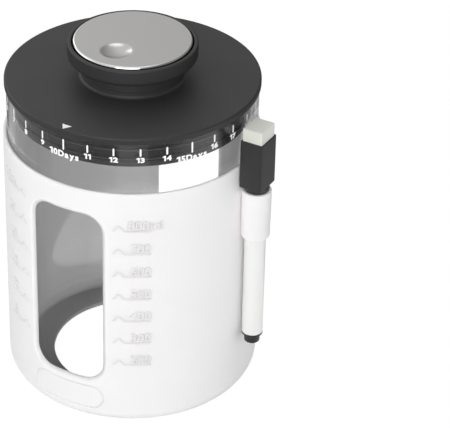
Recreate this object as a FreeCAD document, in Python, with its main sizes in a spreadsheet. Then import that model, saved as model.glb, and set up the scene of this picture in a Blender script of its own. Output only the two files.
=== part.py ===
import FreeCAD, Part
import math
import os
from types import SimpleNamespace

import Sketcher

# Sourdough starter jar: a straight glass jar in a silicone sleeve with two windows and a pen loop,
# a plug lid that turns against a day scale, a vent dial in the lid's knob, and a marker pen.
# Frame: millimetres, +Z up, origin on the table at the jar's axis, windows at -Y and +Y, pen at +X.

# Driving dimensions: lengths in millimetres, and angles in degrees where the name says so.
SIZES = {
    # glass jar
    "glass_radius": 55.2,
    "glass_wall": 3.0,
    "glass_floor": 7.0,
    "glass_height": 143.3,
    "glass_heel_round": 7.0,
    "glass_floor_round": 1.2,
    "glass_rim_round": 1.2,
    # silicone sleeve
    "sleeve_gap": 0.3,
    "sleeve_wall": 1.6,
    "sleeve_base": 2.2,
    "sleeve_height": 122.0,
    "sleeve_heel_round": 8.6,
    "sleeve_lip_round": 0.6,
    "base_hole_radius": 36.5,
    "window_width": 34.0,
    "window_bottom": 23.4,
    "window_top_margin": 13.0,
    "window_corner": 8.5,
    "window_edge_round": 1.2,
    # pen loop, moulded on the sleeve
    "loop_drop": 12.0,
    "loop_height": 23.4,
    "loop_top_wall": 1.6,
    "loop_foot_wall": 1.3,
    "loop_web": 0.6,
    "loop_gap": 0.3,
    # lid plate with its plug
    "lid_rim": 3.1,
    "lid_overhang": 0.85,
    "lid_top_round": 0.8,
    "lid_edge_round": 0.5,
    "lid_plate_wall": 2.6,
    "plug_gap": 1.4,
    "plug_depth": 12.9,
    "plug_wall": 4.4,
    "plug_round": 0.8,
    "foot_wall": 1.2,
    "foot_height": 2.6,
    "foot_fillet": 1.4,
    "foot_round": 0.2,
    "seat_rise": 0.8,
    # gasket in the plug's groove
    "groove_drop": 2.4,
    "groove_height": 8.0,
    "groove_depth": 1.8,
    "gasket_gap": 0.3,
    "gasket_side_gap": 0.1,
    "gasket_lip": 0.6,
    "gasket_lip_root": 1.6,
    "gasket_lip_margin": 0.9,
    # liner that closes the plug
    "liner_thickness": 1.8,
    "liner_ledge": 1.2,
    "liner_vent_radius": 2.5,
    "liner_vent_circle": 12.0,
    # knob
    "neck_radius": 22.2,
    "knob_wall": 2.8,
    "knob_flange": 2.4,
    "passage_web": 1.0,
    "collar_rise": 8.8,
    "collar_height": 7.6,
    "collar_wall": 1.8,
    "collar_round": 2.2,
    "collar_lip_round": 0.7,
    "neck_fillet": 1.5,
    "deck": 2.2,
    "port_radius": 2.4,
    "port_circle": 16.6,
    "boss_radius": 3.0,
    "boss_height": 4.0,
    "boss_inset": 2.4,
    "boss_roof": 0.8,
    "stop_radius": 1.2,
    "stop_circle": 10.5,
    "stop_reach": 0.7,
    # vent dial and what turns with it
    "dial_radius": 26.0,
    "dial_gap": 0.6,
    "dial_proud": 0.8,
    "dial_sheet": 0.8,
    "dial_skirt": 2.4,
    "dial_edge_round": 0.7,
    "dimple_radius": 7.1,
    "dimple_depth": 1.3,
    "dimple_offset": 12.8,
    "dimple_bearing_degrees": -2.1,
    "dimple_gap": 0.2,
    "seal_thickness": 1.0,
    "seal_margin": 1.1,
    "turn_gap": 0.1,
    "spigot_radius": 6.0,
    "bearing_gap": 0.1,
    "vent_channel_width": 5.2,
    "vent_channel_depth": 1.0,
    "stop_slot_gap": 0.2,
    "vent_turn_degrees": 90.0,
    # screws and washer
    "screw_radius": 1.5,
    "screw_head_radius": 2.9,
    "screw_head": 2.0,
    "screw_head_round": 0.8,
    "screw_play": 0.3,
    "thread_gap": 0.05,
    "dial_screw_length": 6.0,
    "knob_screw_length": 8.0,
    "recess_arm": 1.7,
    "recess_width": 0.8,
    "recess_depth": 1.1,
    "washer_radius": 9.0,
    "washer_thickness": 1.0,
    # marker pen
    "barrel_radius": 4.7,
    "barrel_wall": 0.9,
    "barrel_drop": 74.6,
    "barrel_nose": 2.0,
    "barrel_edge_round": 0.3,
    "tail_flange": 1.8,
    "tail_chamfer": 0.9,
    "tail_length": 5.2,
    "tail_radius": 3.5,
    "tail_round": 0.7,
    "tail_spigot": 6.0,
    "holder_radius": 3.5,
    "holder_length": 7.0,
    "holder_cone": 4.0,
    "holder_tip_radius": 2.2,
    "holder_spigot": 8.0,
    "core_gap": 0.4,
    "nib_radius": 1.4,
    "nib_reach": 4.0,
    "nib_round": 0.7,
    "nib_tail": 7.0,
    "cap_depth": 10.7,
    "cap_breadth": 12.7,
    "cap_height": 23.3,
    "cap_edge_round": 0.45,
    "cap_collar": 2.4,
    "cap_gap": 0.2,
    "cap_headroom": 1.5,
    "eraser_wall": 0.5,
    "eraser_seat": 2.0,
    "eraser_proud": 5.9,
    "eraser_round": 0.6,
    # shared
    "fit_gap": 0.1,
    "overrun": 1.0,
}

# Counts of repeated features.
WINDOW_COUNT = 2
SCREW_COUNT = 3
PORT_COUNT = 2
LINER_VENT_COUNT = 6
GASKET_LIP_COUNT = 2

# How near an edge has to lie to the face that it is looked for on, as a share of the wall there.
EDGE_SEARCH_SHARE = 0.05
# The stop slot starts this far round from +X, so that it stays clear of the dimple's recess.
STOP_SLOT_START_DEGREES = 45.0
FULL_TURN = 360.0


class Size:
    """A length from the sheet, or a sum of such lengths: its expression and its value."""

    def __init__(self, text, value):
        self.text = text
        self.value = value

    @staticmethod
    def of(thing):
        return thing if isinstance(thing, Size) else Size(repr(thing), thing)

    def __add__(self, other):
        other = Size.of(other)
        return Size(f"({self.text} + {other.text})", self.value + other.value)

    def __sub__(self, other):
        other = Size.of(other)
        return Size(f"({self.text} - {other.text})", self.value - other.value)

    def __mul__(self, factor):
        return Size(f"({self.text} * {factor!r})", self.value * factor)

    def __truediv__(self, factor):
        return Size(f"({self.text} / {factor!r})", self.value / factor)

    def __neg__(self):
        return Size(f"(-1 * {self.text})", -self.value)


ZERO = Size("0", 0.0)

doc = FreeCAD.newDocument("starter_jar")


def make_sheet():
    """Write the driving dimensions into the sheet, and return them as Size values by name."""
    sheet = doc.addObject("Spreadsheet::Sheet", "dims")
    for row, (name, value) in enumerate(SIZES.items(), start=1):
        sheet.set(f"A{row}", name)
        sheet.set(f"B{row}", str(value))
        sheet.setAlias(f"B{row}", name)
    doc.recompute()
    return SimpleNamespace(**{name: Size(f"dims.{name}", value) for name, value in SIZES.items()})


size = make_sheet()

# Radii and heights that several pieces share, each worked out from the driving dimensions.
glass_bore = size.glass_radius - size.glass_wall
glass_bottom = size.sleeve_base
rim = glass_bottom + size.glass_height
sleeve_bore = size.glass_radius + size.sleeve_gap
sleeve_radius = sleeve_bore + size.sleeve_wall

lid_top = rim + size.lid_rim
lid_underside = lid_top - size.lid_plate_wall
plug_bottom = rim - size.plug_depth
plug_radius = glass_bore - size.plug_gap
plug_bore = plug_radius - size.plug_wall
groove_top = rim - size.groove_drop
groove_bottom = groove_top - size.groove_height
groove_radius = plug_radius - size.groove_depth
liner_radius = plug_bore + size.liner_ledge
seat = lid_top + size.seat_rise
seat_radius = size.neck_radius - size.foot_wall
foot_top = lid_top + size.foot_height

neck_bore = size.neck_radius - size.knob_wall
boss_circle = neck_bore - size.boss_inset
knob_passage = boss_circle - size.boss_radius - size.passage_web
collar_bottom = lid_top + size.collar_rise
collar_top = collar_bottom + size.collar_height
cup_radius = size.dial_radius + size.dial_gap
collar_radius = cup_radius + size.collar_wall
deck_top = collar_bottom + size.deck
flange_top = seat + size.knob_flange
boss_top = flange_top + size.boss_height
bearing_radius = size.spigot_radius + size.bearing_gap
seal_inner = size.stop_circle + size.stop_radius + size.seal_margin

dial_top = collar_top + size.dial_proud
carrier_top = dial_top - size.dial_sheet
carrier_bottom = deck_top + size.seal_thickness + size.turn_gap
carrier_radius = size.dial_radius - size.dial_sheet - size.fit_gap
spigot_bottom = collar_bottom - size.turn_gap
washer_bottom = spigot_bottom - size.washer_thickness

loop_top = size.sleeve_height - size.loop_drop
loop_bottom = loop_top - size.loop_height
loop_bore = size.barrel_radius + size.loop_gap
pen_offset = sleeve_radius + size.loop_web + loop_bore

barrel_bottom = loop_top - size.barrel_drop
barrel_top = loop_top + size.barrel_nose
barrel_bore = size.barrel_radius - size.barrel_wall
spigot_fit = barrel_bore - size.thread_gap
holder_bottom = barrel_top - size.holder_spigot
holder_shoulder = barrel_top + size.holder_length
holder_tip = holder_shoulder + size.holder_cone
nib_bore = size.nib_radius + size.thread_gap
core_bottom = barrel_bottom + size.tail_spigot
core_radius = barrel_bore - size.core_gap
nib_bottom = holder_bottom - size.nib_tail
nib_tip = holder_tip + size.nib_reach
cap_shoulder = loop_top + size.cap_collar
cap_top = cap_shoulder + size.cap_height
cap_collar_radius = loop_bore + size.loop_web - size.fit_gap
eraser_bottom = cap_top - size.eraser_seat
eraser_depth = size.cap_depth - (size.eraser_wall + size.fit_gap) * 2
eraser_breadth = size.cap_breadth - (size.eraser_wall + size.fit_gap) * 2


def new_body(label):
    """A body whose label names its node."""
    body = doc.addObject("PartDesign::Body", label)
    body.Label = label
    return body


def origin_feature(body, role):
    """A plane or an axis of the body's own origin."""
    return next(item for item in body.Origin.OriginFeatures if item.Role == role)


def new_sketch(body, name, role, height=ZERO):
    """A sketch on one of the body's origin planes, raised along that plane's normal by height."""
    sketch = body.newObject("Sketcher::SketchObject", name)
    sketch.AttachmentSupport = (origin_feature(body, role), [""])
    sketch.MapMode = "FlatFace"
    sketch.setExpression("AttachmentOffset.Base.z", height.text)
    return sketch


def fix_along(sketch, kind, geometry, point, length, axis):
    """Hold one coordinate of a sketch point at a length from the sketch's origin."""
    if length.value == 0.0:
        sketch.addConstraint(Sketcher.Constraint("PointOnObject", geometry, point, axis))
        return
    if length.value > 0.0:
        ends = (-1, 1, geometry, point)
    else:
        ends = (geometry, point, -1, 1)
        length = -length
    index = sketch.addConstraint(Sketcher.Constraint(kind, *ends, length.value))
    sketch.setExpression(f"Constraints[{index}]", length.text)


def fix_point(sketch, geometry, point, across, up):
    """Hold a sketch point at its place."""
    fix_along(sketch, "DistanceX", geometry, point, across, -2)
    fix_along(sketch, "DistanceY", geometry, point, up, -1)


def towards(start, end):
    """Direction of an upright or level run, as whole numbers."""
    across = end[0].value - start[0].value
    up = end[1].value - start[1].value
    if abs(across) > abs(up):
        return (int(math.copysign(1, across)), 0)
    return (0, int(math.copysign(1, up)))


def shifted(point, direction, length):
    """A point moved by a length along a level or upright direction."""
    return (point[0] + length * direction[0], point[1] + length * direction[1])


def draw_outline(sketch, corners):
    """Draw a closed outline through corners (across, up), with a radius added at a rounded right angle."""
    runs = []
    for index, corner in enumerate(corners):
        place = corner[:2]
        if len(corner) == 2:
            runs.append((place, place, None))
            continue
        before = towards(corners[index - 1][:2], place)
        after = towards(place, corners[(index + 1) % len(corners)][:2])
        start = shifted(place, before, -corner[2])
        end = shifted(place, after, corner[2])
        runs.append((start, end, (shifted(start, after, corner[2]), before, after)))
    pieces = []
    for index, (start, end, bend) in enumerate(runs):
        if bend is not None:
            pieces.append(draw_bend(sketch, start, end, bend))
        pieces.append(draw_line(sketch, end, runs[(index + 1) % len(runs)][0]))
    close_outline(sketch, pieces)


def close_outline(sketch, pieces):
    """Join each piece's end to the start of the next one, all the way round."""
    for piece, following in zip(pieces, pieces[1:] + pieces[:1]):
        sketch.addConstraint(Sketcher.Constraint("Coincident", *piece.end, *following.start))


def vector(point):
    """A sketch point as a vector of numbers."""
    return FreeCAD.Vector(point[0].value, point[1].value, 0)


def draw_line(sketch, start, end):
    """Draw a straight run and hold its start."""
    line = sketch.addGeometry(Part.LineSegment(vector(start), vector(end)))
    fix_point(sketch, line, 1, *start)
    return SimpleNamespace(start=(line, 1), end=(line, 2))


def draw_bend(sketch, start, end, bend):
    """Draw a quarter circle from start to end and hold its start and centre."""
    centre, before, after = bend
    middle = vector(centre)
    turns_left = before[0] * after[1] - before[1] * after[0] > 0
    first, last = (start, end) if turns_left else (end, start)
    spokes = [vector(first) - middle, vector(last) - middle]
    angles = [math.atan2(spoke.y, spoke.x) for spoke in spokes]
    circle = Part.Circle(middle, FreeCAD.Vector(0, 0, 1), spokes[0].Length)
    arc = sketch.addGeometry(Part.ArcOfCircle(circle, *angles))
    start_point, end_point = (1, 2) if turns_left else (2, 1)
    fix_point(sketch, arc, start_point, *start)
    fix_along(sketch, "DistanceX", arc, 3, centre[0], -2)
    return SimpleNamespace(start=(arc, start_point), end=(arc, end_point))


def draw_circles(sketch, circles):
    """Draw circles given as (across, up, radius)."""
    for across, up, radius in circles:
        middle = FreeCAD.Vector(across.value, up.value, 0)
        circle = sketch.addGeometry(Part.Circle(middle, FreeCAD.Vector(0, 0, 1), radius.value))
        fix_point(sketch, circle, 3, across, up)
        index = sketch.addConstraint(Sketcher.Constraint("Radius", circle, radius.value))
        sketch.setExpression(f"Constraints[{index}]", radius.text)


def draw_axis(sketch, across, bottom, top):
    """Draw an upright construction line to turn a profile about."""
    line = sketch.addGeometry(Part.LineSegment(vector((across, bottom)), vector((across, top))), True)
    fix_point(sketch, line, 1, across, bottom)
    fix_point(sketch, line, 2, across, top)


def add_turned(body, name, corners, about=None, cut=False, degrees=FULL_TURN):
    """Turn an outline about the body's Z axis, or about an upright line that stands at about."""
    sketch = new_sketch(body, f"{name}_outline", "XZ_Plane")
    draw_outline(sketch, corners)
    axis = "V_Axis"
    if about is not None:
        draw_axis(sketch, about, corners[0][1], corners[-1][1])
        axis = "Axis0"
    feature = body.newObject("PartDesign::Groove" if cut else "PartDesign::Revolution", name)
    feature.Profile = sketch
    feature.ReferenceAxis = (sketch, [axis])
    feature.Angle = degrees
    return feature


def add_pad(body, name, sketch, length):
    """Raise a sketch's outline by a length along +Z."""
    pad = body.newObject("PartDesign::Pad", name)
    pad.Profile = sketch
    pad.setExpression("Length", length.text)
    return pad


def add_cut(body, name, sketch, length):
    """Cut a sketch's outline out of the body by a length along the sketch's normal."""
    pocket = body.newObject("PartDesign::Pocket", name)
    pocket.Profile = sketch
    pocket.Reversed = True
    pocket.setExpression("Length", length.text)
    return pocket


def add_drilled(body, name, circles, bottom, top):
    """Drill holes (across, along Y, radius) upwards from bottom to top."""
    sketch = new_sketch(body, f"{name}_circles", "XY_Plane", bottom)
    draw_circles(sketch, circles)
    return add_cut(body, name, sketch, top - bottom)


def add_posts(body, name, circles, bottom, top):
    """Raise round posts (across, along Y, radius) from bottom to top."""
    sketch = new_sketch(body, f"{name}_circles", "XY_Plane", bottom)
    draw_circles(sketch, circles)
    return add_pad(body, name, sketch, top - bottom)


def repeat_round(body, name, features, count):
    """Repeat features evenly about the body's Z axis."""
    pattern = body.newObject("PartDesign::PolarPattern", name)
    pattern.Originals = features
    pattern.Axis = (origin_feature(body, "Z_Axis"), [""])
    pattern.Angle = FULL_TURN
    pattern.Occurrences = count
    body.Tip = pattern
    return pattern


def add_fillet(body, name, base, radius, wanted):
    """Round the edges of base that wanted picks."""
    doc.recompute()
    edges = [f"Edge{index}" for index, edge in enumerate(base.Shape.Edges, start=1) if wanted(edge)]
    fillet = body.newObject("PartDesign::Fillet", name)
    fillet.Base = (base, edges)
    fillet.setExpression("Radius", radius.text)
    return fillet


def rectangle(depth, breadth, middle=ZERO):
    """Corners of a rectangle about a point on the X axis: depth along X and breadth along Y."""
    left, right = middle - depth / 2, middle + depth / 2
    front, back = -(breadth / 2), breadth / 2
    return [(left, front), (right, front), (right, back), (left, back)]


def cross(middle):
    """Corners of a screw's cross recess about a point on the X axis."""
    arm, half = size.recess_arm, size.recess_width / 2
    quarter = [(arm, half), (half, half), (half, arm)]
    corners = []
    for _ in range(4):
        corners += [(middle + across, up) for across, up in quarter]
        quarter = [(-up, across) for across, up in quarter]
    return corners


def move_to_pen(body):
    """Place a pen piece, modelled about its own axis, in the loop."""
    body.setExpression("Placement.Base.x", pen_offset.text)


def make_glass_jar():
    """Straight jar with a thick floor and a rounded rim."""
    body = new_body("glass_jar")
    floor = glass_bottom + size.glass_floor
    add_turned(body, "jar_wall", [
        (ZERO, glass_bottom),
        (size.glass_radius, glass_bottom, size.glass_heel_round),
        (size.glass_radius, rim, size.glass_rim_round),
        (glass_bore, rim, size.glass_rim_round),
        (glass_bore, floor, size.glass_floor_round),
        (ZERO, floor),
    ])
    return body


def make_silicone_sleeve():
    """Cup-shaped sleeve with an open base, a window at front and back and a loop for the pen."""
    body = new_body("silicone_sleeve")
    inner_heel = size.glass_heel_round + size.sleeve_gap
    add_turned(body, "sleeve_wall", [
        (size.base_hole_radius, ZERO),
        (sleeve_radius, ZERO, size.sleeve_heel_round),
        (sleeve_radius, size.sleeve_height, size.sleeve_lip_round),
        (sleeve_bore, size.sleeve_height, size.sleeve_lip_round),
        (sleeve_bore, size.sleeve_base, inner_heel),
        (size.base_hole_radius, size.sleeve_base),
    ])
    window = new_sketch(body, "window_outline", "XZ_Plane")
    half_width = size.window_width / 2
    window_top = size.sleeve_height - size.window_top_margin
    draw_outline(window, [
        (-half_width, size.window_bottom, size.window_corner),
        (half_width, size.window_bottom, size.window_corner),
        (half_width, window_top, size.window_corner),
        (-half_width, window_top, size.window_corner),
    ])
    opening = add_cut(body, "front_window", window, sleeve_radius + size.overrun)
    windows = repeat_round(body, "windows", [opening], WINDOW_COUNT)
    near = size.sleeve_wall.value * EDGE_SEARCH_SHARE

    def on_window_edge(edge):
        point = edge.valueAt((edge.FirstParameter + edge.LastParameter) / 2)
        outside = abs(math.hypot(point.x, point.y) - sleeve_radius.value) < near
        inside = abs(point.x) < half_width.value + near
        return outside and inside and size.window_bottom.value - near < point.z < window_top.value + near

    add_fillet(body, "window_lips", windows, size.window_edge_round, on_window_edge)
    add_turned(body, "pen_loop", [
        (pen_offset, loop_bottom),
        (pen_offset + loop_bore + size.loop_foot_wall, loop_bottom),
        (pen_offset + loop_bore + size.loop_top_wall, loop_top),
        (pen_offset, loop_top),
    ], about=pen_offset)
    bore = [(pen_offset, ZERO, loop_bore)]
    add_drilled(body, "pen_bore", bore, loop_bottom - size.overrun, loop_top + size.overrun)
    return body


def make_lid_plate():
    """Lid plate with a plug that enters the jar's mouth, and a foot ring that carries the knob's neck on."""
    body = new_body("lid_plate")
    liner_recess = liner_radius + size.fit_gap
    liner_top = plug_bottom + size.liner_thickness
    lid_radius = size.glass_radius + size.lid_overhang
    add_turned(body, "plate_and_plug", [
        (knob_passage, lid_underside),
        (plug_bore, lid_underside),
        (plug_bore, liner_top),
        (liner_recess, liner_top),
        (liner_recess, plug_bottom),
        (plug_radius, plug_bottom, size.plug_round),
        (plug_radius, groove_bottom),
        (groove_radius, groove_bottom),
        (groove_radius, groove_top),
        (plug_radius, groove_top),
        (plug_radius, rim),
        (lid_radius, rim, size.lid_edge_round),
        (lid_radius, lid_top, size.lid_top_round),
        (size.neck_radius, lid_top, size.foot_fillet),
        (size.neck_radius, foot_top, size.foot_round),
        (seat_radius, foot_top),
        (seat_radius, seat),
        (knob_passage, seat),
    ])
    hole = [(boss_circle, ZERO, size.screw_radius + size.screw_play)]
    drilled = add_drilled(body, "screw_hole", hole, lid_underside - size.overrun, seat + size.overrun)
    repeat_round(body, "screw_holes", [drilled], SCREW_COUNT)
    return body


def make_lid_gasket():
    """Ring in the plug's groove, with lips that wipe the jar's mouth."""
    body = new_body("lid_gasket")
    bottom = groove_bottom + size.gasket_side_gap
    top = groove_top - size.gasket_side_gap
    inside = groove_radius + size.gasket_gap
    lip_radius = glass_bore - size.gasket_gap
    spacing = top - bottom - size.gasket_lip_margin * 2 - size.gasket_lip_root
    corners = [(inside, bottom), (plug_radius, bottom)]
    for number in range(GASKET_LIP_COUNT):
        root = bottom + size.gasket_lip_margin + spacing * (number / (GASKET_LIP_COUNT - 1))
        crest = root + (size.gasket_lip_root - size.gasket_lip)
        corners += [(plug_radius, root), (lip_radius, crest), (lip_radius, crest + size.gasket_lip)]
        corners.append((plug_radius, root + size.gasket_lip_root))
    corners += [(plug_radius, top), (inside, top)]
    add_turned(body, "gasket_ring", corners)
    return body


def make_lid_liner():
    """Disc that closes the hollow plug, with holes that let the gas through to the vent."""
    body = new_body("lid_liner")
    top = plug_bottom + size.liner_thickness
    add_posts(body, "liner_disc", [(ZERO, ZERO, liner_radius)], plug_bottom, top)
    hole = [(size.liner_vent_circle, ZERO, size.liner_vent_radius)]
    drilled = add_drilled(body, "liner_vent", hole, plug_bottom - size.overrun, top + size.overrun)
    repeat_round(body, "liner_vents", [drilled], LINER_VENT_COUNT)
    return body


def make_knob_body():
    """Hollow neck with a cup on top: the cup's rim is the collar and its floor is the vented deck."""
    body = new_body("knob_body")
    spigot = seat_radius - size.fit_gap
    seam = foot_top + size.fit_gap
    add_turned(body, "neck_and_cup", [
        (knob_passage, seat),
        (spigot, seat),
        (spigot, seam),
        (size.neck_radius, seam),
        (size.neck_radius, collar_bottom, size.neck_fillet),
        (collar_radius, collar_bottom, size.collar_round),
        (collar_radius, collar_top, size.collar_lip_round),
        (cup_radius, collar_top),
        (cup_radius, deck_top),
        (bearing_radius, deck_top),
        (bearing_radius, collar_bottom),
        (neck_bore, collar_bottom),
        (neck_bore, flange_top),
        (knob_passage, flange_top),
    ])
    boss = add_posts(body, "screw_boss", [(boss_circle, ZERO, size.boss_radius)], seat, boss_top)
    repeat_round(body, "screw_bosses", [boss], SCREW_COUNT)
    pilot = [(boss_circle, ZERO, size.screw_radius + size.thread_gap)]
    drilled = add_drilled(body, "screw_pilot", pilot, seat - size.overrun, boss_top - size.boss_roof)
    repeat_round(body, "screw_pilots", [drilled], SCREW_COUNT)
    port = [(size.port_circle, ZERO, size.port_radius)]
    drilled = add_drilled(body, "vent_port", port, collar_bottom - size.overrun, deck_top + size.overrun)
    repeat_round(body, "vent_ports", [drilled], PORT_COUNT)
    turn = math.radians(STOP_SLOT_START_DEGREES + SIZES["vent_turn_degrees"])
    peg = [(size.stop_circle * math.cos(turn), size.stop_circle * math.sin(turn), size.stop_radius)]
    body.Tip = add_posts(body, "stop_peg", peg, deck_top, carrier_bottom + size.stop_reach)
    return body


def make_knob_screws():
    """Screws that hold the knob to the lid plate from below, one solid each."""
    body = new_body("knob_screws")
    body.AllowCompound = True
    under_head = lid_underside
    bottom = under_head - size.screw_head
    head_edge = boss_circle + size.screw_head_radius
    turned = add_turned(body, "screw", [
        (boss_circle, bottom),
        (head_edge, bottom, size.screw_head_round),
        (head_edge, under_head),
        (boss_circle + size.screw_radius, under_head),
        (boss_circle + size.screw_radius, under_head + size.knob_screw_length),
        (boss_circle, under_head + size.knob_screw_length),
    ], about=boss_circle)
    recess = new_sketch(body, "recess_outline", "XY_Plane", bottom)
    draw_outline(recess, cross(boss_circle))
    pocket = add_cut(body, "recess", recess, size.recess_depth)
    repeat_round(body, "screws", [turned, pocket], SCREW_COUNT)
    return body


def make_vent_seal():
    """Flat silicone ring on the deck, with a hole over each vent port."""
    body = new_body("vent_seal")
    sketch = new_sketch(body, "seal_outline", "XY_Plane", deck_top)
    outer = carrier_radius - size.seal_margin
    draw_circles(sketch, [(ZERO, ZERO, outer), (ZERO, ZERO, seal_inner)])
    add_pad(body, "seal_ring", sketch, size.seal_thickness)
    port = [(size.port_circle, ZERO, size.port_radius)]
    top = deck_top + size.seal_thickness + size.overrun
    drilled = add_drilled(body, "seal_port", port, deck_top - size.overrun, top)
    repeat_round(body, "seal_ports", [drilled], PORT_COUNT)
    return body


def make_dial_carrier():
    """Disc that turns on the seal: channels under it pass the gas to its rim when they meet the ports."""
    body = new_body("dial_carrier")
    add_turned(body, "carrier_disc", [
        (ZERO, spigot_bottom),
        (size.spigot_radius, spigot_bottom),
        (size.spigot_radius, carrier_bottom),
        (carrier_radius, carrier_bottom),
        (carrier_radius, carrier_top),
        (ZERO, carrier_top),
    ])
    channel = new_sketch(body, "channel_outline", "XY_Plane", carrier_bottom)
    reach = carrier_radius + size.overrun - seal_inner
    draw_outline(channel, rectangle(reach, size.vent_channel_width, seal_inner + reach / 2))
    pocket = add_cut(body, "vent_channel", channel, size.vent_channel_depth)
    repeat_round(body, "vent_channels", [pocket], PORT_COUNT)
    half_slot = size.stop_radius + size.stop_slot_gap
    slot_top = carrier_bottom + size.stop_reach + size.stop_slot_gap
    play = math.degrees(half_slot.value / size.stop_circle.value)
    slot = add_turned(body, "stop_slot", [
        (size.stop_circle - half_slot, carrier_bottom),
        (size.stop_circle + half_slot, carrier_bottom),
        (size.stop_circle + half_slot, slot_top),
        (size.stop_circle - half_slot, slot_top),
    ], cut=True, degrees=SIZES["vent_turn_degrees"] + play * 2)
    turn_sketch(slot.Profile[0], STOP_SLOT_START_DEGREES - play)
    recess_bottom = dial_top - size.dimple_depth - size.dial_sheet - size.dimple_gap
    bearing = math.radians(SIZES["dimple_bearing_degrees"])
    middle = (size.dimple_offset * math.sin(bearing), size.dimple_offset * -math.cos(bearing))
    recess = [(*middle, size.dimple_radius + size.dial_sheet)]
    add_drilled(body, "dimple_recess", recess, recess_bottom, carrier_top + size.overrun)
    pilot_top = washer_bottom + size.dial_screw_length + size.fit_gap
    pilot = [(ZERO, ZERO, size.screw_radius + size.thread_gap)]
    body.Tip = add_drilled(body, "screw_pilot", pilot, spigot_bottom - size.overrun, pilot_top)
    return body


def turn_sketch(sketch, degrees):
    """Swing an upright sketch about the Z axis, so that what is turned from it starts there."""
    sketch.AttachmentOffset = FreeCAD.Placement(
        FreeCAD.Vector(), FreeCAD.Rotation(FreeCAD.Vector(0, 1, 0), degrees))


def bowl_outline(sketch, level, headroom=ZERO):
    """Draw half of the dimple's bowl: its rim lies at a level, with straight sides above for the headroom."""
    middle = -size.dimple_offset
    bottom = (middle, level - size.dimple_depth)
    brim = (middle + size.dimple_radius, level)
    axis_top = (middle, level + headroom)
    sphere = (size.dimple_radius.value ** 2 + size.dimple_depth.value ** 2) / (2 * size.dimple_depth.value)
    centre = vector(bottom) + FreeCAD.Vector(0, sphere, 0)
    spoke = vector(brim) - centre
    circle = Part.Circle(centre, FreeCAD.Vector(0, 0, 1), sphere)
    pieces = [draw_line(sketch, axis_top, bottom)]
    arc = sketch.addGeometry(Part.ArcOfCircle(circle, -math.pi / 2, math.atan2(spoke.y, spoke.x)))
    fix_point(sketch, arc, 1, *bottom)
    fix_along(sketch, "DistanceX", arc, 3, middle, -2)
    pieces.append(SimpleNamespace(start=(arc, 1), end=(arc, 2)))
    path = [brim, axis_top]
    if headroom is not ZERO:
        path.insert(1, (brim[0], axis_top[1]))
    pieces += [draw_line(sketch, start, end) for start, end in zip(path, path[1:])]
    close_outline(sketch, pieces)
    draw_axis(sketch, middle, bottom[1], axis_top[1] + size.overrun)


def make_vent_dial():
    """Pressed steel cap over the carrier, with a finger dimple near its edge."""
    body = new_body("vent_dial")
    skirt_bore = size.dial_radius - size.dial_sheet
    skirt_bottom = dial_top - size.dial_skirt
    add_turned(body, "dial_cap", [
        (ZERO, carrier_top),
        (skirt_bore, carrier_top),
        (skirt_bore, skirt_bottom),
        (size.dial_radius, skirt_bottom),
        (size.dial_radius, dial_top, size.dial_edge_round),
        (ZERO, dial_top),
    ])
    bulge = new_sketch(body, "bulge_outline", "YZ_Plane")
    bowl_outline(bulge, carrier_top)
    outside = body.newObject("PartDesign::Revolution", "dimple_bulge")
    hollow = new_sketch(body, "hollow_outline", "YZ_Plane")
    bowl_outline(hollow, dial_top, size.overrun)
    inside = body.newObject("PartDesign::Groove", "dimple_hollow")
    for feature, sketch in ((outside, bulge), (inside, hollow)):
        turn_sketch(sketch, SIZES["dimple_bearing_degrees"])
        feature.Profile = sketch
        feature.ReferenceAxis = (sketch, ["Axis0"])
        feature.Angle = FULL_TURN
    return body


def make_dial_washer():
    """Washer under the deck that holds the carrier down."""
    body = new_body("dial_washer")
    sketch = new_sketch(body, "washer_outline", "XY_Plane", washer_bottom)
    draw_circles(sketch, [(ZERO, ZERO, size.washer_radius), (ZERO, ZERO, size.screw_radius + size.fit_gap)])
    add_pad(body, "washer_ring", sketch, size.washer_thickness)
    return body


def make_dial_screw():
    """Screw that joins the washer to the carrier's spigot."""
    body = new_body("dial_screw")
    bottom = washer_bottom - size.screw_head
    add_turned(body, "screw", [
        (ZERO, bottom),
        (size.screw_head_radius, bottom, size.screw_head_round),
        (size.screw_head_radius, washer_bottom),
        (size.screw_radius, washer_bottom),
        (size.screw_radius, washer_bottom + size.dial_screw_length),
        (ZERO, washer_bottom + size.dial_screw_length),
    ])
    recess = new_sketch(body, "recess_outline", "XY_Plane", bottom)
    draw_outline(recess, cross(ZERO))
    add_cut(body, "recess", recess, size.recess_depth)
    return body


def make_pen_barrel():
    """Barrel tube that hangs in the loop."""
    body = new_body("pen_barrel")
    add_turned(body, "barrel_tube", [
        (barrel_bore, barrel_bottom),
        (size.barrel_radius, barrel_bottom, size.barrel_edge_round),
        (size.barrel_radius, barrel_top, size.barrel_edge_round),
        (barrel_bore, barrel_top),
    ])
    move_to_pen(body)
    return body


def make_pen_tail_plug():
    """Plug that closes the barrel's lower end."""
    body = new_body("pen_tail_plug")
    step = barrel_bottom - size.tail_flange
    bottom = barrel_bottom - size.tail_length
    add_turned(body, "plug", [
        (ZERO, bottom),
        (size.tail_radius, bottom, size.tail_round),
        (size.tail_radius, step),
        (size.barrel_radius - size.tail_chamfer, step),
        (size.barrel_radius, step + size.tail_chamfer),
        (size.barrel_radius, barrel_bottom),
        (spigot_fit, barrel_bottom),
        (spigot_fit, core_bottom),
        (ZERO, core_bottom),
    ])
    move_to_pen(body)
    return body


def make_pen_nib_holder():
    """Front section that plugs the barrel's upper end and holds the nib."""
    body = new_body("pen_nib_holder")
    add_turned(body, "holder", [
        (nib_bore, holder_bottom),
        (spigot_fit, holder_bottom),
        (spigot_fit, barrel_top),
        (size.holder_radius, barrel_top),
        (size.holder_radius, holder_shoulder),
        (size.holder_tip_radius, holder_tip),
        (nib_bore, holder_tip),
    ])
    move_to_pen(body)
    return body


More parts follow.
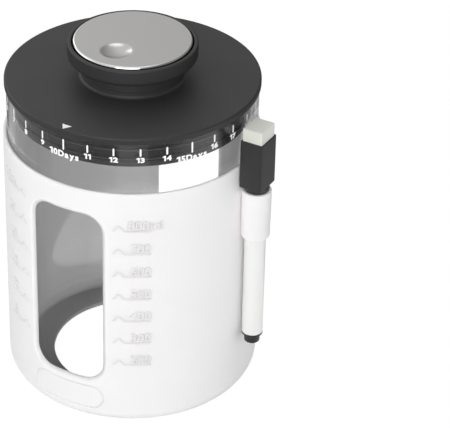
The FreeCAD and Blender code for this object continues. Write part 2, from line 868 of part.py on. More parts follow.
def make_pen_nib():
    """Felt nib from the ink core through the holder."""
    body = new_body("pen_nib")
    add_turned(body, "nib", [
        (ZERO, nib_bottom),
        (size.nib_radius, nib_bottom),
        (size.nib_radius, nib_tip, size.nib_round),
        (ZERO, nib_tip),
    ])
    move_to_pen(body)
    return body


def make_pen_ink_core():
    """Ink core between the tail plug and the nib holder, with a hole for the nib's tail."""
    body = new_body("pen_ink_core")
    add_turned(body, "core", [
        (ZERO, core_bottom),
        (core_radius, core_bottom),
        (core_radius, holder_bottom),
        (nib_bore, holder_bottom),
        (nib_bore, nib_bottom),
        (ZERO, nib_bottom),
    ])
    move_to_pen(body)
    return body


def make_pen_cap():
    """Square cap: a round collar rests on the loop, a bore takes the pen's front, a socket the eraser."""
    body = new_body("pen_cap")
    block = new_sketch(body, "block_outline", "XY_Plane", cap_shoulder)
    corners = rectangle(size.cap_depth, size.cap_breadth)
    draw_outline(block, [(*corner, size.cap_edge_round) for corner in corners])
    add_pad(body, "block", block, size.cap_height)
    add_posts(body, "collar", [(ZERO, ZERO, cap_collar_radius)], loop_top, cap_shoulder)
    bore_top = nib_tip + size.cap_headroom
    bores = (
        ("barrel_bore", size.barrel_radius, barrel_top + size.fit_gap),
        ("holder_bore", size.holder_radius, bore_top),
    )
    for name, radius, top in bores:
        circle = [(ZERO, ZERO, radius + size.cap_gap)]
        add_drilled(body, name, circle, loop_top - size.overrun, top)
    socket = new_sketch(body, "socket_outline", "XY_Plane", eraser_bottom)
    room = size.fit_gap * 2
    draw_outline(socket, rectangle(eraser_depth + room, eraser_breadth + room))
    add_cut(body, "eraser_socket", socket, size.eraser_seat + size.overrun)
    move_to_pen(body)
    return body


def make_pen_eraser():
    """Felt block in the cap's top."""
    body = new_body("pen_eraser")
    sketch = new_sketch(body, "felt_outline", "XY_Plane", eraser_bottom)
    corners = rectangle(eraser_depth, eraser_breadth)
    draw_outline(sketch, [(*corner, size.eraser_round) for corner in corners])
    add_pad(body, "felt", sketch, size.eraser_seat + size.eraser_proud)
    move_to_pen(body)
    return body


MAKERS = (
    make_silicone_sleeve,
    make_glass_jar,
    make_lid_plate,
    make_lid_gasket,
    make_lid_liner,
    make_knob_body,
    make_knob_screws,
    make_vent_seal,
    make_dial_carrier,
    make_vent_dial,
    make_dial_washer,
    make_dial_screw,
    make_pen_barrel,
    make_pen_tail_plug,
    make_pen_nib_holder,
    make_pen_nib,
    make_pen_ink_core,
    make_pen_cap,
    make_pen_eraser,
)


def check_features():
    """Stop if an object failed, or if a cut took nothing away."""
    for item in doc.Objects:
        if "Invalid" in item.State or "Error" in item.State:
            raise RuntimeError(f"{item.Label} failed: {item.State}")
        if item.TypeId in ("PartDesign::Pocket", "PartDesign::Groove"):
            if item.Shape.Volume >= item.BaseFeature.Shape.Volume:
                raise RuntimeError(f"{item.Label} of {item.getParentGeoFeatureGroup().Label} cuts nothing")


def check_and_write(bodies):
    """Check every piece's shape, then write each to its own file."""
    for body in bodies:
        if body.Shape.isNull() or not body.Shape.isValid():
            raise RuntimeError(f"{body.Label} has no valid shape")
    os.makedirs("parts", exist_ok=True)
    for body in bodies:
        body.Shape.exportStep(f"parts/{body.Label}.step")
        print(f"{body.Label}: {len(body.Shape.Solids)} solid, {body.Shape.Volume:.1f} cubic mm")


pieces = [make() for make in MAKERS]
doc.recompute()
check_features()
check_and_write(pieces)
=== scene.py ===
"""Sourdough starter jar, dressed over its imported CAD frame.

A straight glass jar stands in a silicone sleeve with two windows, under a plug lid whose knob holds a steel
vent dial. A marker pen hangs in the sleeve's loop. Lengths are in millimetres unless a name says otherwise.
"""

import functools
import logging
import math
from dataclasses import dataclass
from enum import Enum
from typing import NamedTuple, Optional, Sequence, Union

import bmesh
import bpy
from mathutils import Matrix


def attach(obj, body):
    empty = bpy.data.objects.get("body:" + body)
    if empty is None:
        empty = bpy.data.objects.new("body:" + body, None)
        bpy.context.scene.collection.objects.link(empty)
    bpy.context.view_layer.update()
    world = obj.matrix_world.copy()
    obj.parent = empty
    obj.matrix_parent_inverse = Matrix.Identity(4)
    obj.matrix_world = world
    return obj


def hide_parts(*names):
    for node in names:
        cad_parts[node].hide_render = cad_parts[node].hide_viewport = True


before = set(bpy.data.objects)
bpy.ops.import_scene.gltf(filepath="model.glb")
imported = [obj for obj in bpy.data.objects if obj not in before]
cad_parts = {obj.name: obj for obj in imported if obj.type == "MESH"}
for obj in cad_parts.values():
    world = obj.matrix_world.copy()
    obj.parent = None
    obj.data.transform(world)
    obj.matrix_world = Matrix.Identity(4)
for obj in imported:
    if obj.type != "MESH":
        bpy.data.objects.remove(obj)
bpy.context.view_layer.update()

MM = 0.001
TINY = 1e-6
DOUBLES_METRES = 1e-7
WHITE = (1.0, 1.0, 1.0, 1.0)
# Nearly all the values of a noise texture lie between these two.
NOISE_LOW, NOISE_HIGH = 0.3, 0.7
LOG = logging.getLogger("starter_jar")

Point2 = tuple[float, float]
Point3 = tuple[float, float, float]
Corner = tuple[float, ...]
Tree, Node, Socket = bpy.types.NodeTree, bpy.types.Node, bpy.types.NodeSocket
NodeInputs = dict[Union[str, int], Union[Socket, float, int, bool, Sequence[float]]]


class Body(Enum):
    """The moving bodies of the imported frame."""

    SLEEVE = "sleeve"
    JAR = "jar"
    GASKET = "gasket"
    LID = "lid"
    DIAL = "dial"
    PEN = "pen"
    CAP = "cap"


class Slot(Enum):
    """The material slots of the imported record."""

    WHITE_SILICONE = "white_silicone"
    CLEAR_GLASS = "clear_glass"
    BLACK_LID_PLASTIC = "black_lid_plastic"
    BLACK_SILICONE = "black_silicone"
    SCREW_STEEL = "screw_steel"
    SATIN_STEEL = "satin_steel"
    WHITE_PEN_PLASTIC = "white_pen_plastic"
    BLACK_PEN_PLASTIC = "black_pen_plastic"
    WHITE_FELT = "white_felt"
    INKED_FELT = "inked_felt"


class Side(Enum):
    """The side of the front window that a scale stands on, as a sign along +X."""

    LEFT = -1
    RIGHT = 1


class Facing(Enum):
    """Which way a window looks, as a sign along -Y."""

    FRONT = 1
    BACK = -1


def linear(code: str) -> tuple[float, float, float, float]:
    """Turn an sRGB hex colour into linear light.

    Args:
        code: a hash and six hex digits.

    Returns:
        Linear red, green and blue, with an alpha of 1.
    """
    parts = [int(code[start:start + 2], 16) / 255 for start in (1, 3, 5)]
    red, green, blue = (v / 12.92 if v <= 0.04045 else ((v + 0.055) / 1.055) ** 2.4 for v in parts)
    return red, green, blue, 1.0


def per_metre(pattern: float) -> float:
    """Texture scale that repeats a pattern at a real size in millimetres."""
    return 1 / (pattern * MM)


def heading(bearing: float, elevation: float = 0.0) -> Point3:
    """Unit vector of a direction, from degrees off -Y towards +X and degrees up."""
    turn, rise = math.radians(bearing), math.radians(elevation)
    return math.cos(rise) * math.sin(turn), -math.cos(rise) * math.cos(turn), math.sin(rise)


def feed(node: Node, inputs: NodeInputs) -> None:
    """Set some of a node's inputs.

    Args:
        node: the node.
        inputs: what each input gets, by its name or number: another node's output, or a plain value.
    """
    for name, value in inputs.items():
        if isinstance(value, Socket):
            node.id_data.links.new(value, node.inputs[name])
        else:
            node.inputs[name].default_value = value


def add_node(tree: Tree, kind: str, inputs: Optional[NodeInputs] = None, **settings: object) -> Node:
    """Add a node with its settings and its inputs.

    Args:
        tree: the tree that takes the node.
        kind: the node's type name.
        inputs: what its inputs get, as in feed().
        **settings: properties of the node itself.

    Returns:
        The new node.
    """
    node = tree.nodes.new(kind)
    for name, value in settings.items():
        setattr(node, name, value)
    feed(node, inputs or {})
    return node


@dataclass(frozen=True)
class Finish:
    """A surface finish: its common name, the record's slot, and its plain values."""

    name: str
    slot: Optional[Slot]
    colour: str
    roughness: float
    ior: float = 1.5

    def make(self) -> bpy.types.Material:
        """Build the finish as a material.

        Returns:
            A material whose surface is what detail() gives.
        """
        material = bpy.data.materials.new(self.name)
        material.use_nodes = True
        tree = material.node_tree
        tree.nodes.clear()
        shader = add_node(tree, "ShaderNodeBsdfPrincipled", {
            "Base Color": linear(self.colour), "Roughness": self.roughness, "IOR": self.ior,
        })
        place = add_node(tree, "ShaderNodeTexCoord").outputs["Object"]
        add_node(tree, "ShaderNodeOutputMaterial", {"Surface": self.detail(tree, shader, place)})
        return material

    def detail(self, tree: Tree, shader: Node, place: Socket) -> Socket:
        """Add what the finish shows beyond its plain values.

        Args:
            tree: the material's tree.
            shader: its Principled node.
            place: Object coordinates, which are metres in the object's own frame.

        Returns:
            The output that goes to the surface.
        """
        return shader.outputs["BSDF"]

    def roughen(
        self, tree: Tree, shader: Node, noises: Sequence[Node], spread: float, relief: float
    ) -> None:
        """Let one noise vary the roughness, and another one raise the surface.

        Args:
            tree: the material's tree.
            shader: its Principled node.
            noises: the roughness's noise and the surface's noise.
            spread: how far the roughness goes to each side of its plain value.
            relief: how high the surface is raised, in millimetres.
        """
        gloss = add_node(tree, "ShaderNodeMapRange", {
            "Value": noises[0].outputs["Fac"], "From Min": NOISE_LOW, "From Max": NOISE_HIGH,
            "To Min": self.roughness - spread, "To Max": self.roughness + spread,
        })
        bump = add_node(tree, "ShaderNodeBump", {
            "Height": noises[1].outputs["Fac"], "Distance": relief * MM, "Strength": 1.0,
        })
        feed(shader, {"Roughness": gloss.outputs["Result"], "Normal": bump.outputs["Normal"]})


@dataclass(frozen=True)
class Moulded(Finish):
    """A moulded plastic or rubber: the mould's grain, and slow drifts of tone and gloss.

    Into a soft one a share of the light soaks down to a depth.
    """

    grain: float = 0.9
    relief: float = 0.01
    drift: float = 18.0
    tone: str = "#FFFFFF"
    gloss_drift: float = 0.04
    sheen: float = 0.0
    shine: float = 0.5
    depth: float = 0.0
    soaked_share: float = 0.75

    def detail(self, tree: Tree, shader: Node, place: Socket) -> Socket:
        """Add grain as bump, and drifts of colour and roughness.

        Args:
            tree: the material's tree.
            shader: its Principled node.
            place: Object coordinates.

        Returns:
            The output that goes to the surface.
        """
        if self.depth > 0:
            feed(shader, {
                "Subsurface Weight": self.soaked_share, "Subsurface Radius": (1.0, 1.0, 1.0),
                "Subsurface Scale": self.depth * MM,
            })
        grain, drift = (
            add_node(tree, "ShaderNodeTexNoise", {
                "Vector": place, "Scale": per_metre(size), "Detail": octaves,
            }) for size, octaves in ((self.grain, 3.0), (self.drift, 2.0))
        )
        colour = add_node(tree, "ShaderNodeMix", {
            0: drift.outputs["Fac"], 6: linear(self.colour), 7: linear(self.tone),
        }, data_type="RGBA")
        feed(shader, {
            "Base Color": colour.outputs[2], "Sheen Weight": self.sheen, "Specular IOR Level": self.shine,
        })
        self.roughen(tree, shader, (drift, grain), self.gloss_drift, self.relief)
        return shader.outputs["BSDF"]


@dataclass(frozen=True)
class Metal(Finish):
    """A bare metal with a fine satin from blasting, or hardly any where it is polished."""

    grain: float = 0.5
    relief: float = 0.002
    gloss_drift: float = 0.03

    def detail(self, tree: Tree, shader: Node, place: Socket) -> Socket:
        """Add the metal's satin as bump and roughness.

        Args:
            tree: the material's tree.
            shader: its Principled node.
            place: Object coordinates.

        Returns:
            The output that goes to the surface.
        """
        grain = add_node(tree, "ShaderNodeTexNoise", {
            "Vector": place, "Scale": per_metre(self.grain), "Detail": 4.0,
        })
        feed(shader, {"Metallic": 1.0})
        self.roughen(tree, shader, (grain, grain), self.gloss_drift, self.relief)
        return shader.outputs["BSDF"]


@dataclass(frozen=True)
class Glass(Finish):
    """Polished clear glass that lets the lamps through to what it holds."""

    def detail(self, tree: Tree, shader: Node, place: Socket) -> Socket:
        """Make the glass clear to sight and to lamps.

        Args:
            tree: the material's tree.
            shader: its Principled node.
            place: Object coordinates.

        Returns:
            The output that goes to the surface.
        """
        feed(shader, {"Transmission Weight": 1.0})
        path = add_node(tree, "ShaderNodeLightPath").outputs
        clear = add_node(tree, "ShaderNodeBsdfTransparent", {"Color": linear(self.colour)})
        both = add_node(tree, "ShaderNodeMixShader", {
            0: path["Is Shadow Ray"], 1: shader.outputs["BSDF"], 2: clear.outputs["BSDF"],
        })
        return both.outputs["Shader"]


@dataclass(frozen=True)
class Felt(Finish):
    """Pressed wool felt: matted fibres with a soft nap that catches light at the edges."""

    fibre: float = 0.35
    fibres_in_tuft: float = 5.0
    nap: float = 0.12
    tone: str = "#FFFFFF"
    sheen: float = 0.4
    sheen_roughness: float = 0.6

    def detail(self, tree: Tree, shader: Node, place: Socket) -> Socket:
        """Add the fibres as bump and tone, and the nap as sheen.

        Args:
            tree: the material's tree.
            shader: its Principled node.
            place: Object coordinates.

        Returns:
            The output that goes to the surface.
        """
        bend = add_node(tree, "ShaderNodeTexNoise", {
            "Vector": place, "Scale": per_metre(self.fibre * self.fibres_in_tuft), "Detail": 2.0,
        })
        mat = add_node(tree, "ShaderNodeTexNoise", {
            "Vector": place, "Scale": per_metre(self.fibre),
            "Detail": 6.0, "Roughness": 0.7, "Distortion": 1.4,
        })
        tuft = add_node(tree, "ShaderNodeMath", {
            0: bend.outputs["Fac"], 1: mat.outputs["Fac"],
        }, operation="MULTIPLY")
        colour = add_node(tree, "ShaderNodeMix", {
            0: mat.outputs["Fac"], 6: linear(self.colour), 7: linear(self.tone),
        }, data_type="RGBA")
        bump = add_node(tree, "ShaderNodeBump", {
            "Height": tuft.outputs["Value"], "Distance": self.nap * MM, "Strength": 1.0,
        })
        feed(shader, {
            "Base Color": colour.outputs[2], "Normal": bump.outputs["Normal"],
            "Sheen Weight": self.sheen, "Sheen Roughness": self.sheen_roughness,
        })
        return shader.outputs["BSDF"]


# Platinum-cured silicone from a blasted mould: a soft matt white that glows a little where it is thin.
SILICONE = Moulded(
    "white_platinum_silicone", Slot.WHITE_SILICONE, "#F1EFF0", 0.52, 1.43,
    grain=1.1, relief=0.004, drift=26.0, tone="#F5F3F4", gloss_drift=0.03, sheen=0.05, depth=3.6,
)
# A pale grey painted on the raised scales and in the plate's groove as painted shade, the shade of engraved
# strokes and of a recess; as matt as the sleeve.
PAINTED_SHADE_GREY = Moulded(
    "painted_shade_pale_grey", Slot.WHITE_SILICONE, "#DEDCDD", 0.55, 1.43,
    grain=0.9, relief=0.004, drift=8.0, tone="#E2E0E1", gloss_drift=0.03,
)
# Soda-lime glass, machine pressed: clear and colourless, with hard bright reflections.
GLASS = Glass("clear_soda_lime_glass", Slot.CLEAR_GLASS, "#FFFFFF", 0.0, 1.5)
# ABS from a spark-eroded mould: near black, with a broad dull sheen. Its grain is drawn coarser than real.
LID_ABS = Moulded(
    "black_grained_abs", Slot.BLACK_LID_PLASTIC, "#2F2F30", 0.5, 1.5,
    grain=0.8, relief=0.006, drift=30.0, tone="#333334", gloss_drift=0.04, shine=0.38,
)
# Black silicone of the gasket and the vent seal: matt and a little dusty.
SEAL_SILICONE = Moulded(
    "black_silicone_rubber", Slot.BLACK_SILICONE, "#171717", 0.6, 1.43,
    grain=0.9, relief=0.004, drift=12.0, tone="#1C1C1C", sheen=0.1,
)
# Zinc-plated screw steel: a cool grey with a dull shine.
ZINC = Metal("zinc_plated_steel", Slot.SCREW_STEEL, "#B4B6BA", 0.34, grain=0.6, relief=0.004)
# Stainless sheet, fine blasted: an even satin grey.
SATIN_STEEL = Metal("satin_stainless_steel", Slot.SATIN_STEEL, "#C8C7C5", 0.19, grain=0.45, relief=0.0015)
# The same sheet where its edge is turned and polished: a bright line.
BRIGHT_STEEL = Metal(
    "polished_stainless_edge", Slot.SATIN_STEEL, "#DCDCDA", 0.1, gloss_drift=0.02, relief=0.0005,
)
# Polypropylene of the pen's barrel: smooth glossy white.
PEN_WHITE = Moulded(
    "white_polypropylene", Slot.WHITE_PEN_PLASTIC, "#E4E4E3", 0.3, 1.49,
    grain=1.4, relief=0.002, drift=14.0, tone="#E8E8E7", gloss_drift=0.03,
)
# Polystyrene of the cap and the tail plug: satin black.
PEN_BLACK = Moulded(
    "black_polystyrene", Slot.BLACK_PEN_PLASTIC, "#2D2D2E", 0.42, 1.55,
    grain=0.8, relief=0.004, drift=10.0, tone="#313132", gloss_drift=0.04, shine=0.4,
)
# Wool felt of the eraser: off-white with a faint green cast.
WOOL_FELT = Felt("off_white_wool_felt", Slot.WHITE_FELT, "#CCCDC4", 0.95, tone="#DEDFD7")
# Polyester fibre of the nib and the core, soaked with ink.
INK_FELT = Felt("ink_soaked_fibre", Slot.INKED_FELT, "#0D0D11", 0.7, fibre=0.25, nap=0.04, tone="#18181D")
# Fired white screen ink of the day scale and the lid's pointer: opaque, with a low gloss.
SCREEN_INK = Moulded(
    "white_screen_ink", None, "#FAFAF9", 0.45, 1.5,
    grain=0.5, relief=0.002, drift=6.0, tone="#FCFCFB", gloss_drift=0.03,
)


@functools.cache
def material_of(finish: Finish) -> bpy.types.Material:
    """The one material of a finish, made when it is first asked for."""
    return finish.make()


def soften(corners: Sequence[Corner], closed: bool = True, steps: int = 7) -> list[Point2]:
    """Round the corners of a section and set support points, so that flats stay flat beside the rounds.

    Args:
        corners: (across, up) or (across, up, radius) in order along the section.
        closed: whether the last corner joins the first one.
        steps: how many steps a round takes.

    Returns:
        The section's points in order.
    """
    count = len(corners)
    bends: list[list[Point2]] = []
    for index, corner in enumerate(corners):
        here = (corner[0], corner[1])
        at_end = not closed and index in (0, count - 1)
        if len(corner) == 2 or at_end:
            bends.append([here])
            continue
        before, after = corners[index - 1], corners[(index + 1) % count]
        inward = math.atan2(here[1] - before[1], here[0] - before[0])
        outward = math.atan2(after[1] - here[1], after[0] - here[0])
        turn = (outward - inward + math.pi) % (2 * math.pi) - math.pi
        radius = corner[2]
        reach = radius * math.tan(abs(turn) / 2)
        side = math.copysign(math.pi / 2, turn)
        start = (here[0] - reach * math.cos(inward), here[1] - reach * math.sin(inward))
        middle = (start[0] + radius * math.cos(inward + side), start[1] + radius * math.sin(inward + side))
        spokes = [inward - side + turn * step / steps for step in range(steps + 1)]
        bends.append([(middle[0] + radius * math.cos(a), middle[1] + radius * math.sin(a)) for a in spokes])
    points: list[Point2] = []
    for index, bend in enumerate(bends):
        points += bend
        if not closed and index == count - 1:
            break
        points += supports(bend[-1], bends[(index + 1) % count][0])
    return points


def supports(start: Point2, end: Point2, margin: float = 0.25, longest: float = 9.0) -> list[Point2]:
    """Points on a straight run of a section: one near each end, and more where the run is long.

    Args:
        start: where the run starts.
        end: where it ends.
        margin: how near to the ends the outer points lie.
        longest: the longest step between points.

    Returns:
        The points between start and end.
    """
    length = math.dist(start, end)
    if length < 4 * margin:
        return []
    inner = length - 2 * margin
    pieces = max(1, math.ceil(inner / longest))
    along = [margin + inner * number / pieces for number in range(pieces + 1)]
    return [tuple(a + (b - a) * run / length for a, b in zip(start, end)) for run in along]


def soft_rectangle(half: float, low: float, high: float, corner: float, across: int, up: int) -> list[Point2]:
    """Points round a rectangle with round corners, anticlockwise from the middle of its lower left corner.

    Args:
        half: half of its width.
        low: height of its lower side.
        high: height of its upper side.
        corner: radius of its corners.
        across: steps along each level side.
        up: steps along each upright side.

    Returns:
        The points (across, up), the last of which joins the first.
    """
    inset = half - corner
    centres = [(inset, low + corner), (inset, high - corner), (-inset, high - corner), (-inset, low + corner)]
    points: list[Point2] = []
    quarter = math.pi / 4
    for number, steps in enumerate((across, up, across, up)):
        first, second = centres[number - 1], centres[number]
        normal = (number - 1) * math.pi / 2
        arc, straight = corner * quarter, math.dist(first, second)
        for step in range(steps):
            run = (2 * arc + straight) * step / steps
            if run < arc:
                centre, angle = first, normal - quarter + run / corner
            elif run <= arc + straight:
                share = (run - arc) / straight if straight > TINY else 0.0
                centre = tuple(a + (b - a) * share for a, b in zip(first, second))
                angle = normal
            else:
                centre, angle = second, normal + (run - arc - straight) / corner
            points.append((centre[0] + corner * math.cos(angle), centre[1] + corner * math.sin(angle)))
    return points


def between(first: Sequence[Point2], second: Sequence[Point2], share: float) -> list[Point2]:
    """Points that lie a share of the way from one loop to another."""
    return [tuple(a + (b - a) * share for a, b in zip(*pair)) for pair in zip(first, second)]


def quarter_turn(steps: int) -> list[float]:
    """Angles from 0 to a right angle in even steps."""
    return [math.pi / 2 * step / steps for step in range(steps + 1)]


class Shell:
    """Points and faces of a piece while it is made."""

    def __init__(self) -> None:
        """Start with nothing."""
        self.points: list[Point3] = []
        self.faces: list[tuple[int, ...]] = []
        self.finish_numbers: list[int] = []

    def add(self, point: Point3) -> int:
        """Add a point and return its number."""
        self.points.append(point)
        return len(self.points) - 1

    def add_all(self, points: Sequence[Point3]) -> list[int]:
        """Add points in order and return their numbers."""
        return [self.add(point) for point in points]

    def face(self, corners: Sequence[int], finish: int = 0) -> None:
        """Add a face with the number of its finish."""
        self.faces.append(tuple(corners))
        self.finish_numbers.append(finish)

    def bridge(
        self, first: Sequence[int], second: Sequence[int], closed: bool = True, finish: int = 0
    ) -> None:
        """Join two loops of the same length with quads.

        Args:
            first: numbers of one loop's points.
            second: numbers of the other loop's points.
            closed: whether the loops go all the way round.
            finish: number of the faces' finish.
        """
        count = len(first)
        for index in range(count if closed else count - 1):
            after = (index + 1) % count
            self.face((first[index], first[after], second[after], second[index]), finish)

    def fan(self, loop: Sequence[int], tip: int) -> None:
        """Close a loop with triangles to one point."""
        for index, number in enumerate(loop):
            self.face((number, loop[(index + 1) % len(loop)], tip))

    def circle(self, centre: Point2, radius: float, height: float, segments: int) -> list[int]:
        """Add a level circle.

        Args:
            centre: its middle, seen from above.
            radius: its radius.
            height: its height.
            segments: how many points it has.

        Returns:
            The points' numbers.
        """
        angles = [2 * math.pi * step / segments for step in range(segments)]
        return self.add_all([
            (centre[0] + radius * math.cos(a), centre[1] + radius * math.sin(a), height) for a in angles
        ])

    def loft(self, loops: Sequence[Sequence[int]]) -> None:
        """Join loops one after another, and close the first and the last one with a face.

        Args:
            loops: numbers of the points of each loop, which all have the same length.
        """
        for first, second in zip(loops, loops[1:]):
            self.bridge(first, second)
        self.face(loops[0])
        self.face(loops[-1])

    def take(self, other: "Shell", points: Sequence[Point3]) -> None:
        """Add another shell's faces on points that have been moved.

        Args:
            other: the shell that has the faces.
            points: where its points are now.
        """
        start = len(self.points)
        self.add_all(points)
        for face, finish in zip(other.faces, other.finish_numbers):
            self.face([number + start for number in face], finish)

    def turn(
        self, section: Sequence[Point2], segments: int, centre: Point2 = (0.0, 0.0), closed: bool = True
    ) -> None:
        """Turn a section about an upright axis.

        Args:
            section: points (radius, height).
            segments: steps round the axis.
            centre: where the axis stands.
            closed: whether the section's end joins its start; if not, both lie on the axis.
        """
        rings = [
            self.circle(centre, radius, height, segments if radius > TINY else 1)
            for radius, height in section
        ]
        for first, second in zip(rings, rings[1:] + (rings[:1] if closed else [])):
            if len(first) == 1:
                self.fan(second, first[0])
            elif len(second) == 1:
                self.fan(first, second[0])
            else:
                self.bridge(first, second)

    def mesh(self, name: str, finishes: Sequence[Finish], crease_degrees: float = 38.0) -> bpy.types.Mesh:
        """Make the mesh in metres, with faces outwards and hard edges where it turns sharply.

        Args:
            name: the mesh's name.
            finishes: the finishes that the faces' numbers name.
            crease_degrees: the turn above which an edge stays hard.

        Returns:
            The new mesh.
        """
        mesh = bpy.data.meshes.new(name)
        mesh.from_pydata([tuple(value * MM for value in point) for point in self.points], [], self.faces)
        for finish in finishes:
            mesh.materials.append(material_of(finish))
        mesh.polygons.foreach_set("material_index", self.finish_numbers)
        work = bmesh.new()
        work.from_mesh(mesh)
        bmesh.ops.remove_doubles(work, verts=work.verts, dist=DOUBLES_METRES)
        bmesh.ops.recalc_face_normals(work, faces=work.faces)
        for each in work.faces:
            each.smooth = True
        for edge in work.edges:
            edge.smooth = len(edge.link_faces) == 2 and edge.calc_face_angle() < math.radians(crease_degrees)
        work.to_mesh(mesh)
        work.free()
        return mesh

    def piece(
        self, name: str, body: Body, finishes: Sequence[Finish], nodes: Sequence[str] = ()
    ) -> None:
        """Make the piece and set it on its body.

        Args:
            name: the piece's name.
            body: the body that it moves with.
            finishes: its finishes, of which the first is its main one.
            nodes: the CAD nodes that it stands for.
        """
        settle(self.mesh(name, finishes), body, nodes)


def settle(mesh: bpy.types.Mesh, body: Body, nodes: Sequence[str] = ()) -> None:
    """Put a finished mesh in the scene as a piece of the object.

    Args:
        mesh: the mesh, in metres, already in place.
        body: the body that it moves with.
        nodes: the CAD nodes that it stands for.
    """
    piece = bpy.data.objects.new(mesh.name, mesh)
    bpy.context.scene.collection.objects.link(piece)
    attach(piece, body.value)
    if nodes:
        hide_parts(*nodes)
    LOG.info("%s: %d faces, moves with %s", mesh.name, len(mesh.polygons), body.value)


def dress_node(node: str, finish: Finish) -> None:
    """Give a CAD node that stays as it is a finish of its own.

    Args:
        node: the node's name.
        finish: its finish.
    """
    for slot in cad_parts[node].material_slots:
        slot.material = material_of(finish)
    LOG.info("%s: CAD node, %s", node, finish.name)


def turned_piece(
    name: str, body: Body, finish: Finish, node: str, corners: Sequence[Corner],
    segments: int, steps: int = 7, axis: float = 0.0,
) -> None:
    """Turn a section about an upright axis, as the piece that stands for a CAD node.

    Args:
        name: the piece's name.
        body: the body that it moves with.
        finish: its finish.
        node: the CAD node.
        corners: its section, which is a closed one unless it starts on the axis.
        segments: steps round the axis.
        steps: steps along each round of the section.
        axis: where the axis stands on X.
    """
    closed = corners[0][0] > TINY
    shell = Shell()
    shell.turn(soften(corners, closed, steps), segments, (axis, 0.0), closed)
    shell.piece(name, body, [finish], [node])


def lettering(
    text: str, height: float, relief: float, weight: float, bevel: float = 0.0, stretch: float = 1.0
) -> Shell:
    """Letters as a flat shell: x along from the line's middle, y up from its baseline, z out of the surface.

    Args:
        text: what to write.
        height: height of a numeral.
        relief: how far the letters stand out.
        weight: how much each stroke is thickened on each side.
        bevel: rounding of the letters' edges.
        stretch: how much wider the letters are than the font draws them.

    Returns:
        The letters' points and faces.
    """
    numeral_share = 0.69
    curve = bpy.data.curves.new("lettering", "FONT")
    curve.body = text
    curve.size = height / numeral_share
    curve.align_x = "CENTER"
    curve.resolution_u = 3
    curve.offset = weight
    curve.extrude = relief / 2 - bevel
    curve.bevel_depth = bevel
    curve.bevel_resolution = 0
    line = bpy.data.objects.new("lettering", curve)
    bpy.context.scene.collection.objects.link(line)
    mesh = bpy.data.meshes.new_from_object(line.evaluated_get(bpy.context.evaluated_depsgraph_get()))
    shell = Shell()
    shell.add_all([(v.co.x * stretch, v.co.y, v.co.z + relief / 2) for v in mesh.vertices])
    for polygon in mesh.polygons:
        shell.face(polygon.vertices)
    bpy.data.objects.remove(line)
    bpy.data.curves.remove(curve)
    bpy.data.meshes.remove(mesh)
    return shell


@dataclass(frozen=True)
class TypeStyle:
    """How print is set: a numeral's height, its baseline, and the weight, stretch and gap of its letters."""

    size: float
    baseline: float
    weight: float
    stretch: float
    gap: float


def slab(outline: Sequence[Point2], relief: float) -> Shell:
    """A flat shell with an outline, in the axes of lettering().

    Args:
        outline: the outline's points.
        relief: how far it stands out.

    Returns:
        Its points and faces.
    """
    shell = Shell()
    shell.loft([shell.add_all([(x, y, out) for x, y in outline]) for out in (0.0, relief)])
    return shell


def numeral_one(style: TypeStyle, relief: float) -> Shell:
    """A numeral 1 with a slanting flag, which the font draws as a bare bar.

    Args:
        style: how the print is set.
        relief: how far the numeral stands out.

    Returns:
        Its points and faces, in the axes of lettering().
    """
    tall = style.size + 2 * style.weight
    shares = [(0.27, 0.0), (0.56, 0.0), (0.56, 1.0), (0.31, 1.0), (0.0, 0.87), (0.0, 0.63), (0.27, 0.73)]
    return slab([(across * tall, up * tall - style.weight) for across, up in shares], relief)


def printed_line(text: str, style: TypeStyle, relief: float) -> Shell:
    """Set a line of print letter by letter, in the axes of lettering().

    Args:
        text: what to print.
        style: how it is set.
        relief: thickness of the print.

    Returns:
        The line's points and faces.
    """
    line = Shell()
    edge = 0.0
    for letter in text:
        if letter == "1":
            glyph = numeral_one(style, relief)
        else:
            glyph = lettering(letter, style.size, relief, style.weight, stretch=style.stretch)
        left, right = (pick(point[0] for point in glyph.points) for pick in (min, max))
        line.take(glyph, [(x + edge - left, y, z) for x, y, z in glyph.points])
        edge += right - left + style.gap
    middle = (edge - style.gap) / 2
    line.points = [(x - middle, y, z) for x, y, z in line.points]
    return line


def wrap(shell: Shell, onto: Shell, radius: float, bearing: float, height: float) -> None:
    """Lay a flat shell round a cylinder and add it to another shell.

    Args:
        shell: the flat shell: x along, y up, z outwards.
        onto: the shell that takes it.
        radius: the cylinder's radius, where z is 0.
        bearing: degrees from -Y towards +X at x = 0.
        height: height at y = 0.
    """
    bent = []
    for along, up, out in shell.points:
        angle = math.radians(bearing) + along / radius
        reach = radius + out
        bent.append((reach * math.sin(angle), -reach * math.cos(angle), height + up))
    onto.take(shell, bent)


